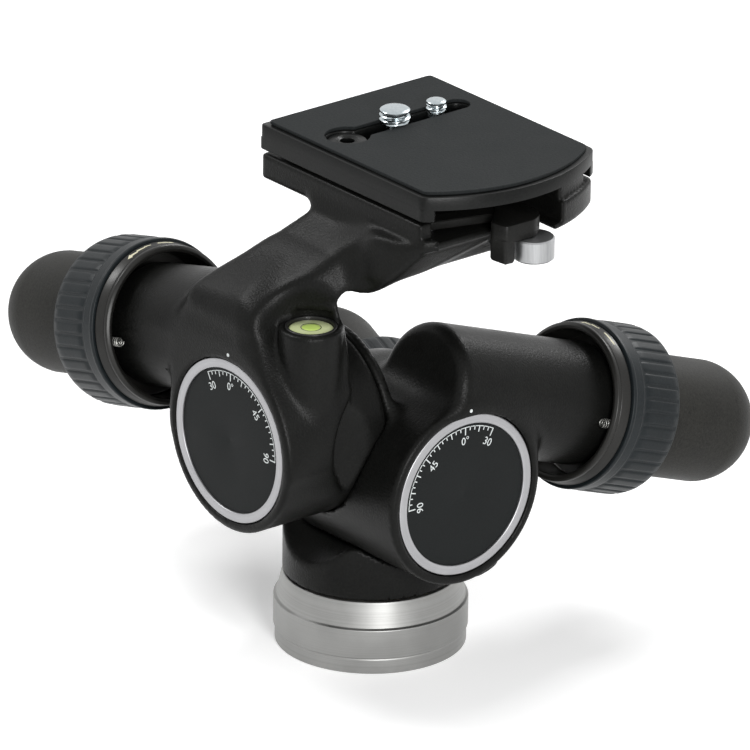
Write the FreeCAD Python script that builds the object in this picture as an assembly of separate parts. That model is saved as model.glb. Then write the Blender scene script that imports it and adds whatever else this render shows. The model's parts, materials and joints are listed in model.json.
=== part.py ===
import FreeCAD, Part
import math
import os

# Three-axis geared head for a tripod, in millimetres.
# Origin: centre of the base's lower face. +Z is the pan axis, +X the lower tilt axis,
# and the upper tilt axis runs along Y, with its dial facing -Y.

V = FreeCAD.Vector
X_DIR = V(1, 0, 0)
Y_DIR = V(0, 1, 0)
Z_DIR = V(0, 0, 1)

# --- driving sizes: running gaps ---
RUN_GAP = 0.05            # shaft in its bush
PART_GAP = 0.4            # between castings that turn on each other
SEAT_GAP = 0.02           # between pieces that lie face to face or are pressed together

# --- base and pan ---
BASE_FOOT_R = 29.5
BASE_BAND_R = 30.0
BASE_RIM_R = 27.3
BASE_FOOT_Z = 5.3
BASE_BAND_Z = 14.5
BASE_TOP_Z = 22.9
BASE_FLOOR = 12.0         # thickness of the cup's solid floor
BASE_WALL = 3.2
TRIPOD_THREAD_R = 4.0     # wall of a 3/8"-16 threaded hole
TRIPOD_THREAD_LEN = 9.0
INSERT_R = 7.0
PAN_R = 27.3
PAN_TOP_Z = 40.0
SPINDLE_R = 8.0
SPINDLE_FLANGE_R = 14.0
SPINDLE_FLANGE = 4.0

# --- tilt axes ---
BOSS_R = 29.0             # both dial bosses
TILT_SHAFT_R = 7.5
BUSH_WALL = 1.2
SHAFT_WEB = 1.0           # metal between the lower bush and the upper shaft
LOWER_BOSS_BOTTOM_Z = 33.2
LOWER_AXIS_Z = LOWER_BOSS_BOTTOM_Z + BOSS_R
UPPER_AXIS_Z = LOWER_AXIS_Z + 2 * TILT_SHAFT_R + BUSH_WALL + SHAFT_WEB
LOWER_WHEEL_X = BOSS_R + 2.4      # clear of the upper boss
LOWER_DRIVE_X = LOWER_WHEEL_X - 4.7
LOWER_FACE_X = LOWER_WHEEL_X + 13.9     # rim of the lower boss
LOWER_BACK_X = -10.0
UPPER_FACE_Y = -56.6      # rim of the upper boss
UPPER_BACK_Y = -17.6
UPPER_DRIVE_Y = -38.0
UPPER_WHEEL_Y = -38.0
ARM_R = 17.0              # round end of the pan casting's upright
ARM_OUTER_X = -25.0
ARM_FRONT_Y = -8.5
CORE_R = 12.0             # middle casting round the upper tilt shaft
CORE_END_Y = 11.0
FLANGE_THICK = 3.2
SHAFT_SCREW_R = 4.5
SHAFT_SCREW_HEAD = 2.4

# --- dials ---
DIAL_WALL = 3.2           # boss rim round the dial
DIAL_BAND = 3.0
DIAL_R = BOSS_R - DIAL_WALL
DIAL_INNER_R = DIAL_R - DIAL_BAND
DIAL_GAP = 0.3
DIAL_THICK = 3.4
DIAL_WEB = 1.4
DIAL_FACE_THICK = 1.4
DIAL_RECESS = 0.4         # dial ring below the boss rim

# --- worm drives ---
DRIVE_OFFSET = 28.5       # tube axis to wheel axis
ECCENTRIC = 1.6           # worm axis to tube axis
ENGAGE_ANGLE = -90.0      # of the eccentric at rest, from the line to the wheel
WHEEL_TEETH = 40
WORM_PITCH_R = 6.4
ADDENDUM = 0.6
DEDENDUM = 1.0
FLANK_ANGLE = 20.0
TOOTH_SLIM = 0.25         # each flank is set back by this for backlash
WHEEL_FACE = 5.0
WORM_LEN = 20.0
TUBE_R = 19.0
TUBE_START = -14.0
TUBE_END = 54.0
CHAMBER_R = 9.6
SLEEVE_R = 11.5
SLEEVE_START = 24.3
SLEEVE_END = 60.0
BEARING_R = 5.5
BEARING_LEN = 4.0
JOURNAL_R = 3.0
COLLAR_FRONT = 48.0
COLLAR_LEN = 23.2
COLLAR_R = 26.5
COLLAR_BORE_R = 22.4
COLLAR_WEB = 3.0
COLLAR_LIP = 2.2          # bare metal in front of the grip
COLLAR_NOSE = 2.4         # front ring ahead of the lip
COLLAR_NOSE_R = 24.8
GRIP_THICK = 2.0
GRIP_RIBS = 40
GRIP_RIB_LEN = 14.5
KNOB_R = 19.0
KNOB_TIP = 119.3
KNOB_DOME = 17.5
KNOB_HUB_R = 9.0
UPPER_DROOP = 13.9
LOWER_DROOP = 20.0
PAN_SPLAY = 15.0
PAN_RISE = 9.35
PAN_WORM_Z = 32.5
PAN_WHEEL_Z = 29.0
PAN_NECK_R = 12.6         # narrow housing round the pan worm
PAN_NECK_START = -13.0
PAN_NECK_END = 17.0

# --- platform and plate ---
PLATE_X0 = -31.0          # straight end
PLATE_CORNER_X = 46.5     # corners of the bowed end
END_BULGE = 12.0          # rise of the bow
PLATE_Y = 13.5
PLATE_WIDTH = 67.0
PLATE_TOP_Z = 165.3
PLATE_THICK = 4.2
PLATE_RAIL = 9.3          # full depth of the rails
RAIL_WIDTH = 5.0
PAD_THICK = 1.2
PAD_INSET = 1.8
PAD_SLOT_GROW = 1.4       # clears the larger screw
DECK_DEPTH = 18.8         # plate's top face to the deck's underside
KEEL_DEPTH = 12.5         # deck's underside to the keel's
DECK_GAP = 0.6            # plate's rails to the deck
DECK_INSET = 0.3          # deck inside the plate's outline
DECK_BOTTOM_Z = PLATE_TOP_Z - DECK_DEPTH
DECK_KEEL_Z = DECK_BOTTOM_Z - KEEL_DEPTH
SLOT_R = 3.5
SLOT_X = -5.0
SLOT_Y0 = -7.0
SLOT_Y1 = 36.0
POCKET_R = 6.5            # round end that lets a screw through
TROUGH_HALF = 9.0         # room for the screw heads in the platform
TROUGH_DEPTH = 6.4
SCREW_BIG_R = 4.7625      # 3/8 inch
SCREW_SMALL_R = 3.175     # 1/4 inch
SCREW_NECK_R = 2.6        # both screws in the slot
SCREW_HEAD_R = 6.6
SCREW_HEAD = 3.0
SCREW_BIG_RISE = 4.5
SCREW_SMALL_RISE = 3.4
SCREW_BIG_Y = 11.5
SCREW_SMALL_Y = 27.7
WASHER_R = 6.8
WASHER_THICK = 0.8

ARM_REAR_Y = UPPER_BACK_Y - 13.0        # stays beside the middle casting's flange and tube
ARM_FOOT_Z = UPPER_AXIS_Z + 18.6
ARM_REAR_Z = UPPER_AXIS_Z + 48.1
ARM_LEFT_X = -27.0
ARM_RIGHT_X = 24.2
ARM_SLOPE_Y = UPPER_FACE_Y + 11.6       # a point on the arm's front slope
ARM_SLOPE_Z = DECK_BOTTOM_Z - 18.5
ROOT_LOW_Z = UPPER_AXIS_Z + 42.9        # lowest corner under the platform
KEEL_X0 = 10.0
KEEL_X1 = 35.5
KEEL_FRONT_Y = -26.0
KEEL_REAR_Y = 28.0

# --- spirit level ---
LEVEL_X = 20.0
LEVEL_Y = -40.7
LEVEL_TOP_Z = UPPER_AXIS_Z + 39.9
LEVEL_BOSS_R = 9.7
VIAL_R = 7.0
VIAL_DEEP = 5.0
CUP_WALL = 0.9
CUP_FLOOR = 1.0

# --- plate lock ---
LEVER_PIVOT_X = 36.0
LEVER_PIVOT_Y = -8.0
LEVER_PIN_R = 1.5
LEVER_THICK = 4.2
LEVER_Z0 = DECK_BOTTOM_Z + 2.1
LEVER_Z1 = LEVER_Z0 + LEVER_THICK
LEVER_BLOCK = (48.0, 57.5, 4.0, 25.0)
LEVER_LEG = 4.6           # width of the leg beside the catch
DECK_FRONT_X = LEVER_BLOCK[0] - 0.8     # platform behind the leg
DECK_LEDGE_X = DECK_FRONT_X - 1.5       # upper edge of the keel's slanted side
CATCH_TOP_DROP = 1.6      # catch below the lever
CATCH_THICK = 7.0
CATCH_Z1 = LEVER_Z0 - CATCH_TOP_DROP
CATCH_Z0 = CATCH_Z1 - CATCH_THICK
CATCH_X = 57.5
CATCH_Y = 15.7
CATCH_R = 6.6
STEM_HALF = 3.6
CATCH_STEM_X = 40.5       # inner end of the catch's stem
LEVER_PIN_Z0 = DECK_BOTTOM_Z - 4.0


def cyl(radius, start, end, axis=Z_DIR, centre=V(0, 0, 0)):
    """Solid cylinder along an axis through centre, between two stations."""
    return Part.makeCylinder(radius, end - start, centre + axis * start, axis)


def ring(outer, inner, start, end, axis=Z_DIR, centre=V(0, 0, 0)):
    """Hollow cylinder."""
    return cyl(outer, start, end, axis, centre).cut(cyl(inner, start - 1, end + 1, axis, centre))


def box(x0, x1, y0, y1, z0, z1):
    """Box between two corners."""
    return Part.makeBox(x1 - x0, y1 - y0, z1 - z0, V(x0, y0, z0))


def turned(points):
    """Solid of revolution about Z from (radius, height) points."""
    wire = Part.makePolygon([V(r, 0, z) for r, z in points + points[:1]])
    return Part.Face(wire).revolve(V(0, 0, 0), Z_DIR, 360)


def extruded(points, z0, z1):
    """Prism on XY points."""
    wire = Part.makePolygon([V(x, y, z0) for x, y in points + points[:1]])
    return Part.Face(wire).extrude(V(0, 0, z1 - z0))


def fused(first, *others):
    """Union of solids that meet or cross."""
    return first.fuse(list(others))


def save(node, shape):
    """Write one node."""
    solids = shape.Solids
    out = solids[0] if len(solids) == 1 else Part.makeCompound(solids)
    print(node, len(solids), round(out.Volume, 1), out.isValid())
    out.exportStep("parts/" + node + ".step")


LOWER_CENTRE = V(0, 0, LOWER_AXIS_Z)
UPPER_CENTRE = V(0, 0, UPPER_AXIS_Z)
PITCH = 2 * math.pi * (DRIVE_OFFSET - ECCENTRIC * math.cos(math.radians(ENGAGE_ANGLE))
                       - WORM_PITCH_R) / WHEEL_TEETH
WHEEL_PITCH_R = PITCH * WHEEL_TEETH / (2 * math.pi)
LEAD_ANGLE = math.degrees(math.atan(PITCH / (2 * math.pi * WORM_PITCH_R)))
TAN_FLANK = math.tan(math.radians(FLANK_ANGLE))


class Drive:
    """Frame of one worm drive: foot on the tube axis, tube direction, direction to the wheel."""

    def __init__(self, name, foot, along, to_wheel):
        self.name = name
        self.foot = foot
        self.along = along
        self.to_wheel = to_wheel
        self.side = along.cross(to_wheel)

    def place(self, shape):
        """Move a shape from local axes (X to the wheel, Z along the tube) to the head."""
        w, n, s, f = self.to_wheel, self.side, self.along, self.foot
        matrix = FreeCAD.Matrix(w.x, n.x, s.x, f.x, w.y, n.y, s.y, f.y, w.z, n.z, s.z, f.z, 0, 0, 0, 1)
        out = shape.copy()
        out.Placement = FreeCAD.Placement(matrix).multiply(shape.Placement)
        return out


def tilt_drive(name, droop, wheel_centre, outward):
    """Drive above a tilt wheel; its tube runs outward and droops."""
    angle = math.radians(droop)
    along = outward * math.cos(angle) - Z_DIR * math.sin(angle)
    to_wheel = outward * -math.sin(angle) - Z_DIR * math.cos(angle)
    return Drive(name, wheel_centre - to_wheel * DRIVE_OFFSET, along, to_wheel)


def pan_drive():
    """Drive beside the pan wheel; its tube is splayed and rises a little."""
    splay, rise = math.radians(PAN_SPLAY), math.radians(PAN_RISE)
    level = V(-math.cos(splay), math.sin(splay), 0)
    to_wheel = V(-math.sin(splay), -math.cos(splay), 0)
    foot = V(0, 0, PAN_WORM_Z) - to_wheel * DRIVE_OFFSET
    return Drive("pan", foot, level * math.cos(rise) + Z_DIR * math.sin(rise), to_wheel)


PAN_DRIVE = pan_drive()
LOWER_DRIVE = tilt_drive("lower", LOWER_DROOP, V(LOWER_DRIVE_X, 0, LOWER_AXIS_Z), Y_DIR)
UPPER_DRIVE = tilt_drive("upper", UPPER_DROOP, V(0, UPPER_DRIVE_Y, UPPER_AXIS_Z), X_DIR * -1)
ECC_X = ECCENTRIC * math.cos(math.radians(ENGAGE_ANGLE))
ECC_Y = ECCENTRIC * math.sin(math.radians(ENGAGE_ANGLE))
WORM_AXIS = V(ECC_X, ECC_Y, 0)


# ---------------------------------------------------------------- worm drives

def worm_local():
    """Worm shaft: thread, journals and knob seat, on its own eccentric axis."""
    half = WORM_LEN / 2
    root_r = WORM_PITCH_R - DEDENDUM
    tip_r = WORM_PITCH_R + ADDENDUM
    flat = PITCH / 4 - TOOTH_SLIM
    tip_half = flat - ADDENDUM * TAN_FLANK
    root_half = flat + (DEDENDUM + 0.2) * TAN_FLANK
    turns = round(WORM_LEN / PITCH) - 1
    start = -turns * PITCH / 2
    helix = Part.makeHelix(PITCH, turns * PITCH, WORM_PITCH_R)
    helix.translate(V(0, 0, start))
    points = [V(root_r - 0.2, 0, start - root_half), V(tip_r, 0, start - tip_half),
              V(tip_r, 0, start + tip_half), V(root_r - 0.2, 0, start + root_half)]
    profile = Part.makePolygon(points + points[:1])
    thread = Part.Wire(helix).makePipeShell([profile], True, True)
    if turns % 2:
        thread.rotate(V(0, 0, 0), Z_DIR, 180)
    shaft = cyl(root_r, -half, SLEEVE_START)
    journal = cyl(JOURNAL_R, SLEEVE_START, SLEEVE_END + 20)
    flat_cut = box(JOURNAL_R - 0.8, JOURNAL_R + 1, -4, 4, SLEEVE_END + 2, SLEEVE_END + 21)
    body = fused(shaft, journal).cut(flat_cut).fuse(thread)
    body.translate(WORM_AXIS)
    return body


def sleeve_local():
    """Eccentric sleeve that carries the worm's bearings and the collar."""
    bar = cyl(SLEEVE_R, SLEEVE_START, SLEEVE_END)
    bore = cyl(BEARING_R, SLEEVE_START - 1, SLEEVE_END + 1, Z_DIR, WORM_AXIS)
    return bar.cut(bore)


def bearings_local():
    """Two ball bearings, each as one closed ring."""
    first = ring(BEARING_R, JOURNAL_R + RUN_GAP, SLEEVE_START + 0.4, SLEEVE_START + 0.4 + BEARING_LEN,
                 Z_DIR, WORM_AXIS)
    second = ring(BEARING_R, JOURNAL_R + RUN_GAP, SLEEVE_END - BEARING_LEN - 0.4, SLEEVE_END - 0.4,
                  Z_DIR, WORM_AXIS)
    return Part.makeCompound([first, second])


def collar_local():
    """Metal collar: a ring round the tube's end and a web on the sleeve."""
    rim = ring(COLLAR_R - GRIP_THICK, COLLAR_BORE_R, COLLAR_FRONT, COLLAR_FRONT + COLLAR_LEN)
    lip = ring(COLLAR_R - 0.6, COLLAR_BORE_R, COLLAR_FRONT, COLLAR_FRONT + COLLAR_LIP)
    nose = ring(COLLAR_NOSE_R, COLLAR_BORE_R, COLLAR_FRONT - COLLAR_NOSE, COLLAR_FRONT + 1)
    web = ring(COLLAR_BORE_R + 0.5, SLEEVE_R + SEAT_GAP, SLEEVE_END - COLLAR_WEB, SLEEVE_END)
    return fused(rim, lip, nose, web)


def collar_grip_local():
    """Rubber sleeve on the collar, ribbed over its rear part."""
    front = COLLAR_FRONT + COLLAR_LIP
    end = COLLAR_FRONT + COLLAR_LEN
    body = ring(COLLAR_R, COLLAR_R - GRIP_THICK, front, end)
    groove = box(COLLAR_R - 0.5, COLLAR_R + 1, -0.7, 0.7, end - GRIP_RIB_LEN, end + 1)
    cuts = []
    for i in range(GRIP_RIBS):
        cut = groove.copy()
        cut.rotate(V(0, 0, 0), Z_DIR, 360 / GRIP_RIBS * i)
        cuts.append(cut)
    return body.cut(Part.makeCompound(cuts))


def knob_hub_local():
    """Hard core of the knob, keyed to the worm shaft."""
    hub = cyl(KNOB_HUB_R, SLEEVE_END + 1, SLEEVE_END + 24)
    hole = cyl(JOURNAL_R + SEAT_GAP, SLEEVE_END, SLEEVE_END + 20)
    flat = box(JOURNAL_R - 0.8 + SEAT_GAP, JOURNAL_R + 1, -4, 4, SLEEVE_END + 2, SLEEVE_END + 20)
    hub = hub.cut(hole.cut(flat))
    hub.translate(WORM_AXIS)
    return hub


def knob_grip_local():
    """Soft knob: a round bar with a domed end, moulded over the hub."""
    start = SLEEVE_END + 2.0
    bar = cyl(KNOB_R, start, KNOB_TIP - KNOB_DOME)
    sphere_r = (KNOB_R ** 2 + KNOB_DOME ** 2) / (2 * KNOB_DOME)
    cap = Part.makeSphere(sphere_r, V(0, 0, KNOB_TIP - sphere_r))
    cap = cap.common(cyl(KNOB_R, KNOB_TIP - KNOB_DOME, KNOB_TIP + 1))
    grip = fused(bar, cap).cut(cyl(KNOB_HUB_R, start - 1, SLEEVE_END + 24))
    grip.translate(WORM_AXIS)
    return grip


def release_spring_local():
    """Flat-wound return spring between the tube's end and the collar's web."""
    return ring(SLEEVE_R + 3.2, SLEEVE_R + 0.8, TUBE_END + 0.1, SLEEVE_END - COLLAR_WEB - 0.1)


def collar_screws_local():
    """Three cap screws that hold the collar's web to the sleeve's shoulder."""
    screws = []
    for i in range(3):
        head = cyl(1.4, SLEEVE_END + SEAT_GAP, SLEEVE_END + 1.6, Z_DIR, V(SLEEVE_R + 3.6, 0, 0))
        head.rotate(V(0, 0, 0), Z_DIR, 120 * i + 60)
        screws.append(head)
    return Part.makeCompound(screws)


def wheel_local(tooth_angle, bore, worm_at):
    """Worm wheel on Z; its first tooth gap crosses +X at the worm's height, worm_at."""
    tip_r = WHEEL_PITCH_R + ADDENDUM
    depth = ADDENDUM + DEDENDUM
    flat = PITCH / 4 + TOOTH_SLIM
    top_half = flat + (ADDENDUM + 0.5) * TAN_FLANK
    low_half = flat - DEDENDUM * TAN_FLANK
    reach = 2 * WHEEL_FACE
    pts = [V(tip_r - depth, -low_half, -reach), V(tip_r + 0.5, -top_half, -reach),
           V(tip_r + 0.5, top_half, -reach), V(tip_r - depth, low_half, -reach)]
    gap = Part.Face(Part.makePolygon(pts + pts[:1])).extrude(V(0, 0, 2 * reach))
    gap.rotate(V(0, 0, 0), X_DIR, tooth_angle)
    gap.translate(V(0, 0, worm_at))
    cuts = []
    for i in range(WHEEL_TEETH):
        cut = gap.copy()
        cut.rotate(V(0, 0, 0), Z_DIR, 360 / WHEEL_TEETH * i)
        cuts.append(cut)
    blank = ring(tip_r, bore + SEAT_GAP, -WHEEL_FACE / 2, WHEEL_FACE / 2)
    return blank.cut(Part.makeCompound(cuts))


LOCAL_PIECES = {
    "worm": worm_local,
    "eccentric_sleeve": sleeve_local,
    "bearings": bearings_local,
    "release_collar": collar_local,
    "collar_grip": collar_grip_local,
    "knob_hub": knob_hub_local,
    "knob_grip": knob_grip_local,
    "release_spring": release_spring_local,
    "collar_screws": collar_screws_local,
}


def make_drives():
    """All three drives from the same pieces."""
    for piece, builder in LOCAL_PIECES.items():
        local = builder()
        for drive in (PAN_DRIVE, LOWER_DRIVE, UPPER_DRIVE):
            save(drive.name + "_" + piece, drive.place(local))


def make_wheels():
    """Three worm wheels, each in mesh with its worm at rest."""
    for drive, shift in ((LOWER_DRIVE, LOWER_WHEEL_X - LOWER_DRIVE_X),
                         (UPPER_DRIVE, UPPER_WHEEL_Y - UPPER_DRIVE_Y)):
        wheel = wheel_local(-LEAD_ANGLE, TILT_SHAFT_R, -ECC_Y - shift)
        wheel.translate(V(0, 0, shift))
        wheel.rotate(V(0, 0, 0), Z_DIR, 180)
        wheel.rotate(V(0, 0, 0), X_DIR, 90)
        wheel.translate(V(DRIVE_OFFSET, 0, 0))
        save(drive.name + "_worm_wheel", drive.place(wheel))
    pan = wheel_local(PAN_RISE - LEAD_ANGLE, SPINDLE_R, PAN_WORM_Z + ECC_Y - PAN_WHEEL_Z)
    pan.rotate(V(0, 0, 0), Z_DIR, 90 - PAN_SPLAY)
    pan.translate(V(0, 0, PAN_WHEEL_Z))
    save("pan_worm_wheel", pan)


# ---------------------------------------------------------------- base and pan

def make_base():
    """Turned aluminium cup, its threaded insert, and the pan spindle."""
    inner_r = BASE_RIM_R - BASE_WALL
    outline = [(0, 0), (BASE_FOOT_R, 0), (BASE_FOOT_R, BASE_FOOT_Z - 0.5), (BASE_BAND_R, BASE_FOOT_Z),
               (BASE_BAND_R, BASE_BAND_Z), (BASE_BAND_R - 0.5, BASE_BAND_Z + 0.5),
               (BASE_RIM_R, BASE_TOP_Z), (inner_r, BASE_TOP_Z), (inner_r, BASE_FLOOR), (0, BASE_FLOOR)]
    cup = turned(outline).cut(cyl(INSERT_R, -1, BASE_FLOOR + 1))
    save("base_cup", cup)
    insert = cyl(INSERT_R - SEAT_GAP, 0.2, BASE_FLOOR).cut(cyl(TRIPOD_THREAD_R, 0, 0.2 + TRIPOD_THREAD_LEN))
    save("tripod_thread_insert", insert)
    wheel_top = PAN_WHEEL_Z + WHEEL_FACE / 2
    flange = cyl(SPINDLE_FLANGE_R, BASE_FLOOR, BASE_FLOOR + SPINDLE_FLANGE)
    save("pan_spindle", fused(flange, cyl(SPINDLE_R, BASE_FLOOR, wheel_top)))
    bolts = []
    for i in range(4):
        angle = math.radians(90 * i + 45)
        spot = V(11 * math.cos(angle), 11 * math.sin(angle), 0)
        bolts.append(cyl(1.8, BASE_FLOOR + SPINDLE_FLANGE, BASE_FLOOR + SPINDLE_FLANGE + 2, Z_DIR, spot))
    save("spindle_bolts", Part.makeCompound(bolts))
    top = BASE_TOP_Z + PART_GAP
    save("pan_bearing", ring(inner_r - 0.3, SPINDLE_R + 7, BASE_FLOOR + SPINDLE_FLANGE + 3, top))


def lower_drive_sweep():
    """Space that the lower drive passes through as the lower axis tilts over the pan casting."""
    tube = cyl(TUBE_R + PART_GAP, TUBE_START - 1, TUBE_END, LOWER_DRIVE.along, LOWER_DRIVE.foot)
    collar = cyl(COLLAR_R + 1, COLLAR_FRONT - COLLAR_NOSE - 1, COLLAR_FRONT + COLLAR_LEN + 1,
                 LOWER_DRIVE.along, LOWER_DRIVE.foot)
    swept = []
    for angle in (0, -8, -16, -24, -31):
        for part in (tube, collar):
            copy = part.copy()
            copy.rotate(LOWER_CENTRE, X_DIR, angle)
            swept.append(copy)
    return swept


def upper_boss_sweep():
    """Space that the upper boss passes through as the lower axis tilts it down."""
    back = UPPER_BACK_Y + FLANGE_THICK + 2 * PART_GAP
    boss = cyl(BOSS_R + PART_GAP, UPPER_FACE_Y - 1, back, Y_DIR, UPPER_CENTRE)
    swept = []
    for angle in (0, 8, 16, 24, 31):
        copy = boss.copy()
        copy.rotate(LOWER_CENTRE, X_DIR, angle)
        swept.append(copy)
    return swept


def make_pan_casting():
    """Pan casting: a drum over the base, an upright for the lower shaft, and the pan drive's tube."""
    low = BASE_TOP_Z + PART_GAP
    drum = cyl(PAN_R, low, PAN_TOP_Z)
    arm_inner = LOWER_BACK_X - PART_GAP
    upright = box(ARM_OUTER_X, arm_inner, ARM_FRONT_Y, ARM_R, PAN_TOP_Z - 2, LOWER_AXIS_Z)
    eye = cyl(ARM_R, ARM_OUTER_X, arm_inner, X_DIR, LOWER_CENTRE)
    tube = cyl(TUBE_R, PAN_NECK_END - 1, TUBE_END, PAN_DRIVE.along, PAN_DRIVE.foot)
    neck = cyl(PAN_NECK_R, PAN_NECK_START, PAN_NECK_END, PAN_DRIVE.along, PAN_DRIVE.foot)
    saddle = cyl(BOSS_R + PART_GAP, arm_inner, LOWER_FACE_X + 30, X_DIR, LOWER_CENTRE)
    wheel_low = PAN_WHEEL_Z - WHEEL_FACE / 2 - 0.6
    wheel_r = WHEEL_PITCH_R + ADDENDUM + 0.8
    cuts = [saddle,
            cyl(wheel_r, wheel_low, PAN_WHEEL_Z + WHEEL_FACE / 2 + 1),
            cyl(SPINDLE_R + 5.5, low - 1, wheel_low + 1),
            cyl(BASE_BAND_R + PART_GAP, -5, low),
            cyl(CHAMBER_R, -WORM_LEN / 2 - 1, SLEEVE_START, PAN_DRIVE.along, PAN_DRIVE.foot),
            cyl(SLEEVE_R + RUN_GAP, SLEEVE_START, TUBE_END + 1, PAN_DRIVE.along, PAN_DRIVE.foot),
            cyl(TILT_SHAFT_R + SEAT_GAP, ARM_OUTER_X - 1, arm_inner + 1, X_DIR, LOWER_CENTRE)]
    body = fused(drum, upright, eye, neck, tube)
    body = body.cut(cuts + lower_drive_sweep() + upper_boss_sweep())
    body = max(body.Solids, key=lambda solid: solid.Volume)
    save("pan_casting", body)
    save("lower_shaft_screw", cyl(SHAFT_SCREW_R, ARM_OUTER_X - SHAFT_SCREW_HEAD, ARM_OUTER_X - SEAT_GAP,
                                  X_DIR, LOWER_CENTRE))


# ---------------------------------------------------------------- tilt axes

def dial_parts(name, axis, centre, rim, wheel_front, sign):
    """Dial ring, whose web and hub clamp the wheel on its shaft, and the face plate set in it."""
    outer = rim - sign * DIAL_RECESS
    back = outer - sign * DIAL_THICK
    face_back = back + sign * DIAL_WEB
    band = ring(DIAL_R, DIAL_INNER_R, *sorted((outer, back)), axis, centre)
    web = cyl(DIAL_R - 0.5, *sorted((back, face_back)), axis, centre)
    hub_ends = sorted((wheel_front + sign * SEAT_GAP, back + sign * 0.5))
    hub = ring(TILT_SHAFT_R + 3, TILT_SHAFT_R + SEAT_GAP, *hub_ends, axis, centre)
    save(name + "_dial_ring", fused(band, web, hub))
    face_ends = sorted((face_back, face_back + sign * DIAL_FACE_THICK))
    save(name + "_dial_face", cyl(DIAL_INNER_R - SEAT_GAP, *face_ends, axis, centre))


def bushes(node, spans, axis, centre):
    """Bronze bushes between shaft and casting."""
    parts = [ring(TILT_SHAFT_R + BUSH_WALL, TILT_SHAFT_R + RUN_GAP, a, b, axis, centre) for a, b in spans]
    save(node, Part.makeCompound(parts))


LOWER_BUSHES = [(LOWER_BACK_X, LOWER_BACK_X + 8.0), (12.0, 20.0)]
UPPER_BUSHES = [(-31.0, UPPER_BACK_Y)]


def boss_cuts(axis, centre, rim, wheel_at, sign, drive, bush_spans):
    """Cavity for wheel and dial, worm chamber, sleeve bore and bush seats of a tilt casting."""
    room = WHEEL_FACE / 2 + 0.8
    cavity = sorted((wheel_at - sign * room, rim + sign))
    recess = sorted((rim - sign * (DIAL_RECESS + DIAL_THICK + 0.6), rim + sign))
    cuts = [cyl(WHEEL_PITCH_R + ADDENDUM + 1.2, *cavity, axis, centre),
            cyl(DIAL_R + DIAL_GAP, *recess, axis, centre),
            cyl(CHAMBER_R, -WORM_LEN / 2 - 1, SLEEVE_START, drive.along, drive.foot),
            cyl(SLEEVE_R + RUN_GAP, SLEEVE_START, TUBE_END + 1, drive.along, drive.foot)]
    for start, end in bush_spans:
        cuts.append(cyl(TILT_SHAFT_R + BUSH_WALL + SEAT_GAP, start, end, axis, centre))
    return cuts


def collar_room(drive):
    """Room for the collar's nose beside the boss that carries its tube."""
    front = COLLAR_FRONT - COLLAR_NOSE - PART_GAP
    return ring(COLLAR_R + PART_GAP, TUBE_R, front, COLLAR_FRONT + COLLAR_LEN, drive.along, drive.foot)


def make_middle():
    """Middle casting: lower boss and drive tube, and the seat of the upper tilt shaft."""
    boss = cyl(BOSS_R, LOWER_BACK_X, LOWER_FACE_X, X_DIR, LOWER_CENTRE).cut(collar_room(LOWER_DRIVE))
    tube = cyl(TUBE_R, TUBE_START, TUBE_END, LOWER_DRIVE.along, LOWER_DRIVE.foot)
    seat_y = UPPER_BACK_Y + PART_GAP
    flange = cyl(BOSS_R, seat_y, seat_y + FLANGE_THICK, Y_DIR, UPPER_CENTRE)
    core = cyl(CORE_R, seat_y, CORE_END_Y, Y_DIR, UPPER_CENTRE)
    neck = box(LOWER_BACK_X, 18.0, seat_y + 1, CORE_END_Y, LOWER_AXIS_Z + 5, UPPER_AXIS_Z)
    body = fused(boss, tube, flange, core, neck)
    relief = cyl(BOSS_R + PART_GAP, UPPER_FACE_Y - 5, seat_y, Y_DIR, UPPER_CENTRE)
    shaft_bore = cyl(TILT_SHAFT_R + SEAT_GAP, seat_y - 1, CORE_END_Y + 1, Y_DIR, UPPER_CENTRE)
    through = cyl(TILT_SHAFT_R + 0.6, LOWER_BACK_X - 1, LOWER_FACE_X, X_DIR, LOWER_CENTRE)
    cuts = boss_cuts(X_DIR, LOWER_CENTRE, LOWER_FACE_X, LOWER_WHEEL_X, 1, LOWER_DRIVE, LOWER_BUSHES)
    arm_room = cyl(BOSS_R * 1.6, ARM_OUTER_X - 10, LOWER_BACK_X, X_DIR, LOWER_CENTRE)
    arm_room = arm_room.common(box(-80, LOWER_BACK_X, seat_y + FLANGE_THICK, 60, 0, 120))
    eye_room = cyl(ARM_R + PART_GAP, ARM_OUTER_X - 10, LOWER_BACK_X, X_DIR, LOWER_CENTRE)
    screw_room = cyl(SHAFT_SCREW_R + 1, CORE_END_Y, CORE_END_Y + 30, Y_DIR, UPPER_CENTRE)
    body = body.cut(cuts + [relief, shaft_bore, through, arm_room, eye_room, screw_room])
    save("middle_casting", max(body.Solids, key=lambda solid: solid.Volume))
    save("upper_shaft_screw", cyl(SHAFT_SCREW_R, CORE_END_Y + SEAT_GAP, CORE_END_Y + SHAFT_SCREW_HEAD,
                                  Y_DIR, UPPER_CENTRE))


def platform_outline(grow):
    """Outline shared by plate, pad and platform: a rectangle with a bowed +X end."""
    x0 = PLATE_X0 - grow
    corner = PLATE_CORNER_X + grow
    half = PLATE_WIDTH / 2 + grow
    y0, y1 = PLATE_Y - half, PLATE_Y + half
    low = V(corner, y0, 0)
    high = V(corner, y1, 0)
    edges = [Part.LineSegment(V(x0, y0, 0), low).toShape(),
             Part.Arc(low, V(corner + END_BULGE, PLATE_Y, 0), high).toShape(),
             Part.LineSegment(high, V(x0, y1, 0)).toShape(),
             Part.LineSegment(V(x0, y1, 0), V(x0, y0, 0)).toShape()]
    return Part.Face(Part.Wire(edges))


def slab(grow, z0, z1):
    """Platform outline between two heights."""
    face = platform_outline(grow)
    face.translate(V(0, 0, z0))
    return face.extrude(V(0, 0, z1 - z0))


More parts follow.
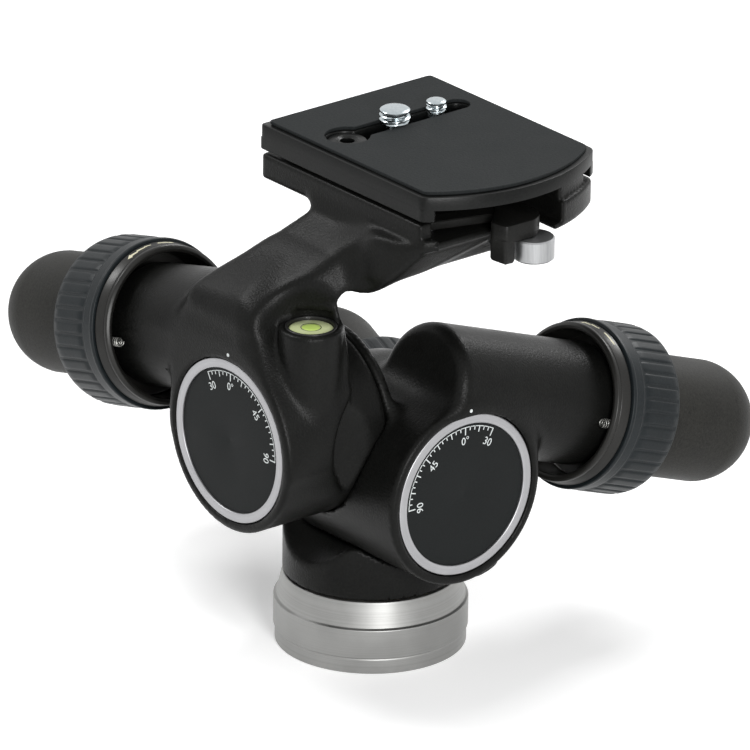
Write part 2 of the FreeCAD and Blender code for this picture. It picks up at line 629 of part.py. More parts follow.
def beyond(point, outward):
    """Everything near the head on the outward side of a plane."""
    block = Part.makeBox(300, 300, 300, V(-150, -150, 0))
    block.Placement = FreeCAD.Placement(point, FreeCAD.Rotation(Z_DIR, outward))
    return block


def prism(points, start, end, along_x):
    """Prism on YZ points along X, or on XZ points along Y."""
    if along_x:
        wire = Part.makePolygon([V(start, a, z) for a, z in points + points[:1]])
        return Part.Face(wire).extrude(V(end - start, 0, 0))
    wire = Part.makePolygon([V(a, start, z) for a, z in points + points[:1]])
    return Part.Face(wire).extrude(V(0, end - start, 0))


def arm_shape():
    """Arm from the upper boss to the platform, and its root under the platform's corner."""
    deck_in = DECK_BOTTOM_Z + 2
    side = [(UPPER_FACE_Y, ARM_FOOT_Z), (ARM_REAR_Y, ARM_FOOT_Z), (ARM_REAR_Y, ARM_REAR_Z),
            (-14, DECK_KEEL_Z), (12, DECK_BOTTOM_Z), (12, deck_in), (-17, deck_in),
            (ARM_SLOPE_Y, ARM_SLOPE_Z), (UPPER_FACE_Y, ARM_SLOPE_Z - 8.3)]
    arm = prism(side, ARM_LEFT_X, ARM_RIGHT_X, True)
    arm = arm.cut(beyond(V(-18, ARM_SLOPE_Y, 0), V(-0.93, 0.37, 0)))
    arm = arm.cut(beyond(V(ARM_RIGHT_X - 1, ARM_REAR_Y, ROOT_LOW_Z), V(0.737, -0.49, 0.465)))
    root = [(16, ROOT_LOW_Z), (ARM_RIGHT_X, ROOT_LOW_Z), (KEEL_X1 - 1, DECK_KEEL_Z - 0.7),
            (DECK_LEDGE_X, DECK_BOTTOM_Z), (DECK_LEDGE_X, deck_in), (16, deck_in)]
    root = prism(root, ARM_REAR_Y, 12, False)
    root = root.cut(beyond(V(ARM_RIGHT_X, ARM_REAR_Y, 0), V(0.447, -0.894, 0)))
    root = root.cut(beyond(V(0, ARM_REAR_Y, ROOT_LOW_Z + 4), V(0, 0.42, -0.91)))
    root = root.cut(beyond(V(0, ARM_SLOPE_Y, ARM_SLOPE_Z + 3), V(0, -0.583, 0.813)))
    return fused(arm, root)


def platform_cuts(plate_under):
    """Rooms in the platform for the lever, the catch, the hinge pin and the screw heads."""
    above = DECK_BOTTOM_Z + 20
    room_y0 = LEVER_PIVOT_Y - 7
    lever_room = box(LEVER_PIVOT_X - 6, 90, room_y0, LEVER_BLOCK[3] + 1.5, LEVER_Z0 - PART_GAP, above)
    front_room = box(DECK_FRONT_X, 90, room_y0, CATCH_Y + CATCH_R + 1, DECK_KEEL_Z - 1, above)
    stem = STEM_HALF + PART_GAP
    stem_room = box(CATCH_STEM_X - 2.5, DECK_FRONT_X + 1, CATCH_Y - stem, CATCH_Y + stem,
                    CATCH_Z0 - PART_GAP, CATCH_Z1 + PART_GAP)
    pivot = V(LEVER_PIVOT_X, LEVER_PIVOT_Y, 0)
    pin_hole = cyl(LEVER_PIN_R + SEAT_GAP, LEVER_PIN_Z0, LEVER_Z0, Z_DIR, pivot)
    trough = box(SLOT_X - TROUGH_HALF, SLOT_X + TROUGH_HALF,
                 SLOT_Y0 - TROUGH_HALF, SLOT_Y1 + TROUGH_HALF - 3,
                 plate_under - TROUGH_DEPTH, above)
    return [lever_room, front_room, stem_room, pin_hole, trough]


def make_top():
    """Top casting: upper boss, drive tube, arm, platform and the level's boss."""
    boss = cyl(BOSS_R, UPPER_FACE_Y, UPPER_BACK_Y, Y_DIR, UPPER_CENTRE).cut(collar_room(UPPER_DRIVE))
    tube = cyl(TUBE_R, TUBE_START, TUBE_END, UPPER_DRIVE.along, UPPER_DRIVE.foot)
    tube = tube.cut(box(-12, 60, UPPER_BACK_Y - 12, 20, 60, 140))
    level_spot = V(LEVEL_X, LEVEL_Y, 0)
    level_boss = cyl(LEVEL_BOSS_R, UPPER_AXIS_Z + 8, LEVEL_TOP_Z, Z_DIR, level_spot)
    plate_under = PLATE_TOP_Z - PAD_THICK - PLATE_THICK
    deck = slab(-DECK_INSET, DECK_BOTTOM_Z, PLATE_TOP_Z - PLATE_RAIL - DECK_GAP)
    inner = PLATE_WIDTH / 2 - RAIL_WIDTH - 0.5
    tongue = slab(-2, DECK_BOTTOM_Z, plate_under - SEAT_GAP)
    tongue = tongue.common(box(-80, 80, PLATE_Y - inner, PLATE_Y + inner, 0, 300))
    keel = [(KEEL_X0, DECK_KEEL_Z), (KEEL_X1, DECK_KEEL_Z), (DECK_LEDGE_X, DECK_BOTTOM_Z - 1),
            (DECK_LEDGE_X, DECK_BOTTOM_Z + 1), (KEEL_X0, DECK_BOTTOM_Z + 1)]
    keel = prism(keel, KEEL_FRONT_Y, KEEL_REAR_Y, False)
    body = fused(boss, tube, level_boss, arm_shape(), deck, tongue, keel)
    cuts = boss_cuts(Y_DIR, UPPER_CENTRE, UPPER_FACE_Y, UPPER_WHEEL_Y, -1, UPPER_DRIVE, UPPER_BUSHES)
    cuts += platform_cuts(plate_under)
    cup_foot = LEVEL_TOP_Z - VIAL_DEEP - CUP_FLOOR
    cuts += [cyl(TILT_SHAFT_R + 0.6, UPPER_WHEEL_Y, UPPER_BACK_Y + 1, Y_DIR, UPPER_CENTRE),
             cyl(VIAL_R + CUP_WALL, cup_foot, LEVEL_TOP_Z + 12, Z_DIR, level_spot)]
    body = body.cut(cuts)
    save("top_casting", max(body.Solids, key=lambda solid: solid.Volume))


def make_level():
    """Bull's-eye level: its cup and the filled vial."""
    spot = V(LEVEL_X, LEVEL_Y, 0)
    floor = LEVEL_TOP_Z - VIAL_DEEP
    outer = VIAL_R + CUP_WALL - SEAT_GAP
    save("level_cup", fused(ring(outer, VIAL_R, floor, LEVEL_TOP_Z + 0.4, Z_DIR, spot),
                            cyl(outer, floor - CUP_FLOOR, floor, Z_DIR, spot)))
    save("level_vial", cyl(VIAL_R, floor, LEVEL_TOP_Z - 0.3, Z_DIR, spot))


def make_lock():
    """Plate lock: lever with its thumb block and leg, hinge pin, and the safety catch."""
    px, py = LEVER_PIVOT_X, LEVER_PIVOT_Y
    x0, x1, y0, y1 = LEVER_BLOCK
    bar = extruded([(px - 4, py - 3), (px + 2, py - 5), (x0 + 2, y0 - 2), (x0 + 2, y1 - 2),
                    (x0 - 2.5, y1 - 3), (x0 - 4, y0), (px - 3, py + 4)], LEVER_Z0, LEVER_Z1)
    block = box(x0, x1, y0, y1, LEVER_Z0, LEVER_Z1)
    leg = box(x0, x1 - 0.5, y0, y0 + LEVER_LEG, CATCH_Z0, LEVER_Z0 + 1)
    hole = cyl(LEVER_PIN_R + RUN_GAP, 0, 300, Z_DIR, V(px, py, 0))
    save("lock_lever", fused(bar, block, leg).cut(hole))
    save("lever_pin", cyl(LEVER_PIN_R, LEVER_PIN_Z0, LEVER_Z1 + 1, Z_DIR, V(px, py, 0)))
    tab = cyl(CATCH_R, CATCH_Z0, CATCH_Z1, Z_DIR, V(CATCH_X, CATCH_Y, 0))
    tab = tab.cut(box(CATCH_X - 20, CATCH_X - 4, 0, 60, 0, 300))
    stem = box(CATCH_STEM_X, CATCH_X - 2, CATCH_Y - STEM_HALF, CATCH_Y + STEM_HALF, CATCH_Z0, CATCH_Z1)
    save("safety_catch", fused(tab, stem))


def slot_cutter(grow):
    """Camera slot with the round pocket that lets a screw through."""
    half = SLOT_R + grow
    straight = box(SLOT_X - half, SLOT_X + half, SLOT_Y0, SLOT_Y1, 0, 300)
    far_end = cyl(half, 0, 300, Z_DIR, V(SLOT_X, SLOT_Y1, 0))
    pocket = cyl(POCKET_R + grow, 0, 300, Z_DIR, V(SLOT_X, SLOT_Y0, 0))
    return fused(straight, far_end, pocket)


def make_plate():
    """Quick-release plate with side rails and a slot, its rubber pad and its two camera screws."""
    plate_top = PLATE_TOP_Z - PAD_THICK
    plate = slab(0, plate_top - PLATE_THICK, plate_top)
    half = PLATE_WIDTH / 2 - RAIL_WIDTH
    rails = slab(0, PLATE_TOP_Z - PLATE_RAIL, plate_top - PLATE_THICK + 0.5)
    rails = rails.cut(box(-80, 80, PLATE_Y - half, PLATE_Y + half, 0, 300))
    save("plate", fused(plate, rails).cut(slot_cutter(0)))
    save("plate_pad", slab(-PAD_INSET, plate_top, PLATE_TOP_Z).cut(slot_cutter(PAD_SLOT_GROW)))
    under = plate_top - PLATE_THICK - SEAT_GAP
    head_top = under - WASHER_THICK - SEAT_GAP
    for name, radius, y, rise in (("large", SCREW_BIG_R, SCREW_BIG_Y, SCREW_BIG_RISE),
                                  ("small", SCREW_SMALL_R, SCREW_SMALL_Y, SCREW_SMALL_RISE)):
        spot = V(SLOT_X, y, 0)
        washer = ring(WASHER_R, SCREW_NECK_R + RUN_GAP, under - WASHER_THICK, under, Z_DIR, spot)
        save("camera_washer_" + name, washer)
        head = cyl(SCREW_HEAD_R, head_top - SCREW_HEAD, head_top, Z_DIR, spot)
        neck = cyl(SCREW_NECK_R, head_top - 1, PLATE_TOP_Z + 1, Z_DIR, spot)
        shank = cyl(radius, PLATE_TOP_Z + SEAT_GAP, PLATE_TOP_Z + rise, Z_DIR, spot)
        tool = box(SLOT_X - 5, SLOT_X + 5, y - 0.7, y + 0.7, 0, head_top - SCREW_HEAD + 1.2)
        save("camera_screw_" + name, fused(head, neck, shank).cut(tool))


def make_tilts():
    """Shafts, bushes and dials of both tilt axes."""
    for name, axis, centre, back, rim, wheel_at, spans, sign in (
            ("lower", X_DIR, LOWER_CENTRE, ARM_OUTER_X, LOWER_FACE_X, LOWER_WHEEL_X, LOWER_BUSHES, 1),
            ("upper", Y_DIR, UPPER_CENTRE, CORE_END_Y, UPPER_FACE_Y, UPPER_WHEEL_Y, UPPER_BUSHES, -1)):
        front = rim - sign * (DIAL_RECESS + DIAL_THICK + SEAT_GAP)
        save(name + "_tilt_shaft", cyl(TILT_SHAFT_R, *sorted((back, front)), axis, centre))
        dial_parts(name, axis, centre, rim, wheel_at + sign * WHEEL_FACE / 2, sign)
        bushes(name + "_bushes", spans, axis, centre)


os.makedirs("parts", exist_ok=True)
make_base()
make_pan_casting()
make_tilts()
make_middle()
make_top()
make_level()
make_lock()
make_plate()
make_wheels()
make_drives()
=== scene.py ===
import bmesh
import bpy
import json
import math
import numpy as np
from mathutils import Matrix, Vector
from mathutils.geometry import tessellate_polygon


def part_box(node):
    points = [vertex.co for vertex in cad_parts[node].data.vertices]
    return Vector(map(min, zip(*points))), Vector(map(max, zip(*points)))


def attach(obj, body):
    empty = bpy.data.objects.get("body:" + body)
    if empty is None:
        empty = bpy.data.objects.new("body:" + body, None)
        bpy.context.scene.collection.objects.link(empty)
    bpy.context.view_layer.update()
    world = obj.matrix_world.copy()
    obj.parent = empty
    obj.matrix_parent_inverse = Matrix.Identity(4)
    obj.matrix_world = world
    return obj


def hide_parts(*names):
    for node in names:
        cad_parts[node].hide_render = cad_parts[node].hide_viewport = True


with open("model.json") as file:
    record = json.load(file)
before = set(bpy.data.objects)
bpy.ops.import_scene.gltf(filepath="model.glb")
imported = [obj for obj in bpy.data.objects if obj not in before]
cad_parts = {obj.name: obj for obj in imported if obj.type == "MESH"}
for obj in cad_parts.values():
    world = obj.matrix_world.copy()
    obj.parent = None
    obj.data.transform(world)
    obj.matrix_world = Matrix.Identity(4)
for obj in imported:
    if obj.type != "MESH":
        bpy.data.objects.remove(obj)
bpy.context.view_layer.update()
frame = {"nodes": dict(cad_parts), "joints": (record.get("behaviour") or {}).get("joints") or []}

MM = 0.001
nodes = frame["nodes"]


# --- Camera, lamps and floor -------------------------------------------------------------
# A long lens from above the corner between the two dials, over a plain white sweep.
# Two soft boxes and an even sky light the head; the floor keeps its soft shadow.

VIEW_AZIMUTH = math.radians(50.68)
VIEW_ELEVATION = math.radians(22.48)
VIEW_ROLL = math.radians(0.63)
VIEW_DISTANCE = 3.5387
VIEW_AIM = Vector((0.00035, 0.00043, 0.0867))
SENSOR = 36.0
FOCAL_PER_SENSOR = 11611.4 / 750


def aim_camera():
    """Place the camera from its azimuth, elevation and roll about the line of sight."""
    a, e = VIEW_AZIMUTH, VIEW_ELEVATION
    forward = Vector((-math.sin(a) * math.cos(e), math.cos(a) * math.cos(e), -math.sin(e)))
    level = Vector((math.cos(a), math.sin(a), 0))
    above = level.cross(forward)
    right = level * math.cos(VIEW_ROLL) + above * math.sin(VIEW_ROLL)
    up = above * math.cos(VIEW_ROLL) - level * math.sin(VIEW_ROLL)
    data = bpy.data.cameras.new("camera")
    data.sensor_width = SENSOR
    data.lens = SENSOR * FOCAL_PER_SENSOR
    data.clip_start = 0.1
    data.clip_end = 60
    camera = bpy.data.objects.new("camera", data)
    bpy.context.scene.collection.objects.link(camera)
    turn = Matrix((right, up, -forward)).transposed()
    camera.matrix_world = Matrix.Translation(VIEW_AIM - forward * VIEW_DISTANCE) @ turn.to_4x4()
    bpy.context.scene.camera = camera


def soft_box(name, place, size, power):
    """One square soft box that faces the middle of the head."""
    data = bpy.data.lights.new(name, "AREA")
    data.energy = power
    data.size = size
    lamp = bpy.data.objects.new(name, data)
    bpy.context.scene.collection.objects.link(lamp)
    lamp.location = place
    lamp.rotation_euler = (VIEW_AIM - Vector(place)).to_track_quat("-Z", "Y").to_euler()


def node_tree(owner):
    """Empty node tree of a material or world, and its output node."""
    owner.use_nodes = True
    tree = owner.node_tree
    tree.nodes.clear()
    kind = "ShaderNodeOutputWorld" if isinstance(owner, bpy.types.World) else "ShaderNodeOutputMaterial"
    return tree, tree.nodes.new(kind)


def add_node(tree, kind, settings=(), **inputs):
    """New node with its settings and its inputs, by name; a socket given as input is linked."""
    node = tree.nodes.new("ShaderNode" + kind)
    for key, value in dict(settings).items():
        setattr(node, key, value)
    for key, value in inputs.items():
        socket = node.inputs[key.replace("_", " ")]
        if isinstance(value, bpy.types.NodeSocket):
            tree.links.new(value, socket)
        else:
            socket.default_value = value
    return node


def seen_directly(tree):
    """1 for camera, mirror and glass rays, which see the white sweep, and 0 for the rest."""
    path = tree.nodes.new("ShaderNodeLightPath")
    total = path.outputs["Is Camera Ray"]
    for kind in ("Is Glossy Ray", "Is Transmission Ray"):
        step = add_node(tree, "Math", {"operation": "MAXIMUM"})
        tree.links.new(total, step.inputs[0])
        tree.links.new(path.outputs[kind], step.inputs[1])
        total = step.outputs[0]
    return total


def sky():
    """White to the camera, and an even pale fill for the head."""
    world = bpy.data.worlds.new("sky")
    bpy.context.scene.world = world
    tree, out = node_tree(world)
    fill = add_node(tree, "Background", Color=(1, 1, 1, 1), Strength=0.36)
    white = add_node(tree, "Background", Color=(1, 1, 1, 1), Strength=1.0)
    mix = add_node(tree, "MixShader")
    tree.links.new(seen_directly(tree), mix.inputs[0])
    tree.links.new(fill.outputs[0], mix.inputs[1])
    tree.links.new(white.outputs[0], mix.inputs[2])
    tree.links.new(mix.outputs[0], out.inputs[0])


def floor():
    """Round pale floor under the head."""
    mesh = bpy.data.meshes.new("floor")
    net = bmesh.new()
    bmesh.ops.create_circle(net, cap_ends=True, segments=96, radius=6.0)
    net.to_mesh(mesh)
    net.free()
    disc = bpy.data.objects.new("floor", mesh)
    bpy.context.scene.collection.objects.link(disc)
    material = bpy.data.materials.new("floor_white")
    tree, out = node_tree(material)
    matt = add_node(tree, "BsdfDiffuse", Color=(0.9, 0.9, 0.9, 1))
    glow = add_node(tree, "Emission", Color=(1, 1, 1, 1), Strength=0.35)
    both = add_node(tree, "AddShader")
    tree.links.new(matt.outputs[0], both.inputs[0])
    tree.links.new(glow.outputs[0], both.inputs[1])
    mix = add_node(tree, "MixShader")
    tree.links.new(seen_directly(tree), mix.inputs[0])
    tree.links.new(matt.outputs[0], mix.inputs[1])
    tree.links.new(both.outputs[0], mix.inputs[2])
    tree.links.new(mix.outputs[0], out.inputs[0])
    mesh.materials.append(material)


bpy.context.scene.view_settings.view_transform = "Standard"
aim_camera()
soft_box("box_left", (-0.65, -0.40, 0.95), 0.30, 5.0)
soft_box("box_right", (0.90, -0.42, 0.42), 0.26, 7.0)
soft_box("box_back", (-0.2, 0.9, 0.9), 0.34, 7.5)
sky()
floor()


# --- Base cup -----------------------------------------------------------------------------
# The foot that stands on a tripod: one cup turned from aluminium bar, satin, with a brighter
# band between two turned steps. A threaded steel insert is pressed into its floor.

ALUMINIUM = (0.25, 0.25, 0.243, 1)
ALUMINIUM_BRIGHT = (0.34, 0.34, 0.332, 1)
TURN_SEGMENTS = 160
CUP_FOOT_R = 29.5
CUP_BAND_R = 30.0
CUP_RIM_R = 27.3
CUP_WALL = 3.2
CUP_FOOT_Z = 5.3
CUP_BAND_Z = 14.5
CUP_FLOOR = 12.0
INSERT_R = 7.0
THREAD_TAP_R = 4.0            # inside the tripod thread's crests
THREAD_DEEP = 0.76
TRIPOD_PITCH = 25.4 / 16
PART_LINE = 0.5               # rounding of turned corners


def grain_bump(tree, point, scale, depth, detail=3.0):
    """Bump from fine noise; depth in millimetres."""
    noise = add_node(tree, "TexNoise", Vector=point, Scale=scale, Detail=detail, Roughness=0.6)
    return add_node(tree, "Bump", Height=noise.outputs[0], Distance=depth * MM, Strength=1.0).outputs[0]


def varied(tree, factor, low, high, low_at=0.3, high_at=0.7):
    """Colour that runs between two tones as factor goes from low_at to high_at."""
    ramp = tree.nodes.new("ShaderNodeValToRGB")
    ramp.color_ramp.elements[0].position = low_at
    ramp.color_ramp.elements[0].color = low
    ramp.color_ramp.elements[1].position = high_at
    ramp.color_ramp.elements[1].color = high
    tree.links.new(factor, ramp.inputs[0])
    return ramp.outputs[0]


def surface(name, colour, speck, rough, metal=0.0, grain=900.0, depth=0.05, patch=60.0, specular=0.5,
            stretch=(1, 1, 1), soft=0.0, uneven=0.05):
    """Finish of two tones in patches and specks, with grain in the bump and uneven gloss."""
    material = bpy.data.materials.new(name)
    tree, out = node_tree(material)
    place = tree.nodes.new("ShaderNodeTexCoord")
    point = add_node(tree, "Mapping", Vector=place.outputs["Object"], Scale=stretch).outputs[0]
    patches = add_node(tree, "TexNoise", Vector=point, Scale=patch, Detail=4.0, Roughness=0.6)
    specks = add_node(tree, "TexNoise", Vector=point, Scale=grain, Detail=2.0, Roughness=0.7)
    blend = add_node(tree, "Mix", {"data_type": "FLOAT"}, Factor=0.6)
    tree.links.new(patches.outputs[0], blend.inputs["A"])
    tree.links.new(specks.outputs[0], blend.inputs["B"])
    gloss = add_node(tree, "MapRange", Value=patches.outputs[0], From_Min=0.3, From_Max=0.7,
                     To_Min=rough - uneven, To_Max=rough + uneven)
    shader = add_node(tree, "BsdfPrincipled", Base_Color=varied(tree, blend.outputs[0], colour, speck),
                      Roughness=gloss.outputs[0], Metallic=metal,
                      Normal=grain_bump(tree, point, grain, depth))
    shader.inputs["Specular IOR Level"].default_value = specular
    if soft:
        shader.inputs["Sheen Weight"].default_value = soft
        shader.inputs["Sheen Roughness"].default_value = 0.5
    tree.links.new(shader.outputs[0], out.inputs[0])
    return material


def mesh_piece(name, points, faces, material, smooth=True):
    """Object from points in millimetres."""
    mesh = bpy.data.meshes.new(name)
    mesh.from_pydata((np.asarray(points) * MM).tolist(), [], [list(map(int, f)) for f in faces])
    mesh.polygons.foreach_set("use_smooth", [smooth] * len(mesh.polygons))
    mesh.materials.append(material)
    piece = bpy.data.objects.new(name, mesh)
    bpy.context.scene.collection.objects.link(piece)
    return piece


def rounded(outline, radius, steps=4):
    """Closed outline with each corner cut back to an arc of up to this radius."""
    points = np.array(outline, float)
    out = []
    for i, corner in enumerate(points):
        before, after = points[i - 1] - corner, points[(i + 1) % len(points)] - corner
        a, b = np.linalg.norm(before), np.linalg.norm(after)
        half = math.acos(np.clip(np.dot(before, after) / (a * b), -1, 1)) / 2
        back = min(radius / max(math.tan(half), 0.05), a * 0.45, b * 0.45)
        p, q = corner + before / a * back, corner + after / b * back
        for t in np.linspace(0, 1, steps + 1):
            out.append((1 - t) ** 2 * p + 2 * t * (1 - t) * corner + t ** 2 * q)
    return np.array(out)


def turned(outline, foot=(0, 0, 0), along=(0, 0, 1), to_side=(1, 0, 0), segments=TURN_SEGMENTS):
    """Points and faces of a closed (radius, station) outline turned about an axis."""
    along, to_side = np.array(along, float), np.array(to_side, float)
    across = np.cross(along, to_side)
    turn = np.linspace(0, 2 * math.pi, segments, endpoint=False)
    spokes = np.cos(turn)[:, None] * to_side + np.sin(turn)[:, None] * across
    rings = spokes[:, None, :] * outline[None, :, :1] + along * outline[None, :, 1:] + np.array(foot)
    count = len(outline)
    a = np.arange(segments)[:, None] * count + np.arange(count)
    b = np.arange(segments)[:, None] * count + (np.arange(count) + 1) % count
    step = count * segments
    faces = np.stack([a, b, (b + count) % step, (a + count) % step], -1).reshape(-1, 4)
    return rings.reshape(-1, 3), faces


def mend(piece, by_angle=35):
    """Merge doubles, drop slivers, turn every face outward, and keep edges past an angle sharp."""
    net = bmesh.new()
    net.from_mesh(piece.data)
    bmesh.ops.remove_doubles(net, verts=net.verts, dist=1e-6)
    bmesh.ops.dissolve_degenerate(net, edges=net.edges, dist=1e-7)
    bmesh.ops.recalc_face_normals(net, faces=net.faces)
    for edge in net.edges:
        edge.smooth = len(edge.link_faces) == 2 and edge.calc_face_angle(0) < math.radians(by_angle)
    net.to_mesh(piece.data)
    net.free()
    return piece


def turned_finish(name, dark, light, rough, centre=(0, 0, 0), turn=(0, 0, 0)):
    """Metal with faint rings from the lathe: noise that changes with radius and station only."""
    material = bpy.data.materials.new(name)
    tree, out = node_tree(material)
    place = tree.nodes.new("ShaderNodeTexCoord")
    moved = add_node(tree, "VectorMath", {"operation": "SUBTRACT"})
    tree.links.new(place.outputs["Object"], moved.inputs[0])
    moved.inputs[1].default_value = [c * MM for c in centre]
    laid = add_node(tree, "Mapping", Vector=moved.outputs[0], Rotation=[math.radians(a) for a in turn])
    split = add_node(tree, "SeparateXYZ", Vector=laid.outputs[0])
    squares = add_node(tree, "VectorMath", {"operation": "LENGTH"})
    flat = add_node(tree, "CombineXYZ", X=split.outputs[0], Y=split.outputs[1])
    tree.links.new(flat.outputs[0], squares.inputs[0])
    rings = add_node(tree, "CombineXYZ", X=squares.outputs["Value"], Z=split.outputs[2])
    lines = add_node(tree, "TexNoise", Vector=rings.outputs[0], Scale=2600.0, Detail=2.0, Roughness=0.7)
    patches = add_node(tree, "TexNoise", Vector=place.outputs["Object"], Scale=90.0, Detail=4.0)
    blend = add_node(tree, "Mix", {"data_type": "FLOAT"}, Factor=0.5)
    tree.links.new(lines.outputs[0], blend.inputs["A"])
    tree.links.new(patches.outputs[0], blend.inputs["B"])
    bump = add_node(tree, "Bump", Height=lines.outputs[0], Distance=0.012 * MM, Strength=1.0)
    gloss = add_node(tree, "MapRange", Value=patches.outputs[0], From_Min=0.3, From_Max=0.7,
                     To_Min=rough - 0.05, To_Max=rough + 0.06)
    shader = add_node(tree, "BsdfPrincipled", Base_Color=varied(tree, blend.outputs[0], dark, light),
                      Roughness=gloss.outputs[0], Metallic=1.0, Normal=bump.outputs[0])
    tree.links.new(shader.outputs[0], out.inputs[0])
    return material


def settle(piece, body_name, slot_name, *nodes_replaced):
    """Give a finished piece its body, and hide the nodes it stands for; the slot name is not used."""
    if nodes_replaced:
        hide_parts(*nodes_replaced)
    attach(piece, body_name)


def finish_node(node, material):
    """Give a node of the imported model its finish."""
    node_object = nodes[node]
    node_object.data.materials.clear()
    node_object.data.materials.append(material)


aluminium_satin = turned_finish("aluminium_satin", ALUMINIUM, ALUMINIUM_BRIGHT, 0.44)
steel_machined = turned_finish("steel_machined", (0.30, 0.31, 0.32, 1), (0.44, 0.45, 0.46, 1), 0.30)
bronze_cut = surface("bronze_cut", (0.42, 0.27, 0.11, 1), (0.55, 0.37, 0.17, 1), 0.32, metal=1.0, grain=700.0,
                     depth=0.01)
steel_black = surface("steel_black_oxide", (0.03, 0.03, 0.032, 1), (0.06, 0.06, 0.064, 1), 0.38, metal=0.9,
                      grain=1200.0, depth=0.01)

cup_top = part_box("base_cup")[1][2] / MM
cup_inner = CUP_RIM_R - CUP_WALL
cup_outline = [(INSERT_R, 0), (CUP_FOOT_R, 0), (CUP_FOOT_R, CUP_FOOT_Z - 0.7),
               (CUP_FOOT_R - 0.25, CUP_FOOT_Z - 0.35),
               (CUP_BAND_R, CUP_FOOT_Z), (CUP_BAND_R, CUP_BAND_Z), (CUP_BAND_R - 0.9, CUP_BAND_Z + 0.5),
               (CUP_RIM_R, cup_top), (cup_inner, cup_top), (cup_inner, CUP_FLOOR), (INSERT_R, CUP_FLOOR)]
cup = mesh_piece("base_cup_turned", *turned(rounded(cup_outline, PART_LINE)), aluminium_satin)
settle(mend(cup, 50), "base", "base_aluminium", "base_cup")


def threaded(outline, rows, first, last, depth, pitch, centre):
    """Turned piece about a vertical axis whose outline rows between two indexes carry a spiral thread."""
    points, faces = turned(outline, (centre[0], centre[1], 0), segments=rows)
    count = len(outline)
    station = np.tile(np.arange(count), rows)
    near_end = np.minimum(station - first, last - station) / 4
    x, y = points[:, 0] - centre[0], points[:, 1] - centre[1]
    phase = (points[:, 2] / pitch - np.arctan2(y, x) / (2 * math.pi)) % 1
    cut = np.clip((np.abs(phase - 0.5) * 2 - 0.2) / 0.6, 0, 1) * np.clip(near_end, 0, 1) * depth
    radius = np.hypot(x, y)
    points[:, 0] += x / radius * cut
    points[:, 1] += y / radius * cut
    return points, faces


insert_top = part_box("tripod_thread_insert")[1][2] / MM
insert_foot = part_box("tripod_thread_insert")[0][2] / MM
thread_z = np.arange(insert_foot + 0.6, insert_foot + 9.0, TRIPOD_PITCH / 6)
insert_outline = [(INSERT_R - 0.02, insert_foot), (INSERT_R - 0.02, insert_top), (0.2, insert_top),
                  (0.2, insert_foot + 9.0), (THREAD_TAP_R, insert_foot + 9.0)]
insert_outline += [(THREAD_TAP_R, z) for z in thread_z[::-1]] + [(THREAD_TAP_R + 0.6, insert_foot)]
insert_outline = np.array(insert_outline)
insert = mesh_piece("tripod_thread", *threaded(insert_outline, 64, 4, len(insert_outline) - 1, THREAD_DEEP,
                                               TRIPOD_PITCH, (0, 0)), steel_machined)
settle(mend(insert), "base", "steel", "tripod_thread_insert")

for node, finish in (("pan_spindle", steel_machined), ("spindle_bolts", steel_black),
                     ("pan_bearing", bronze_cut),
                     ("pan_worm_wheel", bronze_cut)):
    finish_node(node, finish)


# --- Pan casting --------------------------------------------------------------------------
# Die-cast aluminium drum that turns on the base, with an upright for the lower tilt shaft and
# the tube of the pan drive. Black powder coat with a fine leather grain; all corners filleted.

CASTING_BLACK = (0.003, 0.003, 0.0028, 1)
CASTING_SPECK = (0.0095, 0.0098, 0.0090, 1)
SKIN_CELL = 0.9
BOSS_R = 29.0
TUBE_R = 19.0
TUBE_START = -14.0
TUBE_END = 54.0
SLEEVE_R = 11.7
RUN_GAP = 0.4
COLLAR_FRONT = 48.0
COLLAR_NOSE = 2.4
COLLAR_LEN = 23.2
COLLAR_R = 26.5
PAN_R = 27.3
PAN_LOW_Z = 23.3
PAN_TOP_Z = 40.0
PAN_NECK = (-13.0, 17.0, 12.6)          # stations and radius of the housing round the pan worm
ARM_X = (-25.0, -10.4)        # upright of the lower tilt shaft
EYE_R = 17.0
SHAFT_R = 7.5
UPPER_BACK_Y = -17.6

joints = {joint["name"]: joint for joint in frame["joints"]}
LOWER_AXIS_Z = joints["lower_tilt"]["pos_m"][2] / MM
UPPER_AXIS_Z = joints["upper_tilt"]["pos_m"][2] / MM
DRIVES = {name: (np.array(joints[name + "_release"]["pos_m"]) / MM,
                 -np.array(joints[name + "_release"]["axis"]))
          for name in ("pan", "lower", "upper")}


def net_faces(inside):
    """Grid cells crossed by a surface, and the quads that join them round each crossed edge."""
    shape = inside.shape
    cells = np.zeros(tuple(n - 1 for n in shape), np.int8)
    for i in (0, 1):
        for j in (0, 1):
            for k in (0, 1):
                cells += inside[i:shape[0] - 1 + i, j:shape[1] - 1 + j, k:shape[2] - 1 + k]
    active = (cells > 0) & (cells < 8)
    index = np.full(active.shape, -1, np.int64)
    index[active] = np.arange(active.sum())
    quads = []
    for axis in range(3):
        u, v = (axis + 1) % 3, (axis + 2) % 3
        low = np.take(inside, range(shape[axis] - 1), axis)
        high = np.take(inside, range(1, shape[axis]), axis)
        here = np.argwhere(low != high)
        keep = (here[:, u] > 0) & (here[:, v] > 0) & (here[:, u] < shape[u] - 1) & (here[:, v] < shape[v] - 1)
        here = here[keep]
        outward = low[tuple(here.T)]
        corner = []
        for du, dv in ((1, 1), (0, 1), (0, 0), (1, 0)):
            cell = here.copy()
            cell[:, u] -= du
            cell[:, v] -= dv
            corner.append(index[tuple(cell.T)])
        quad = np.stack(corner, 1)
        quad[~outward] = quad[~outward][:, ::-1]
        quads.append(quad)
    return np.argwhere(active), np.concatenate(quads)


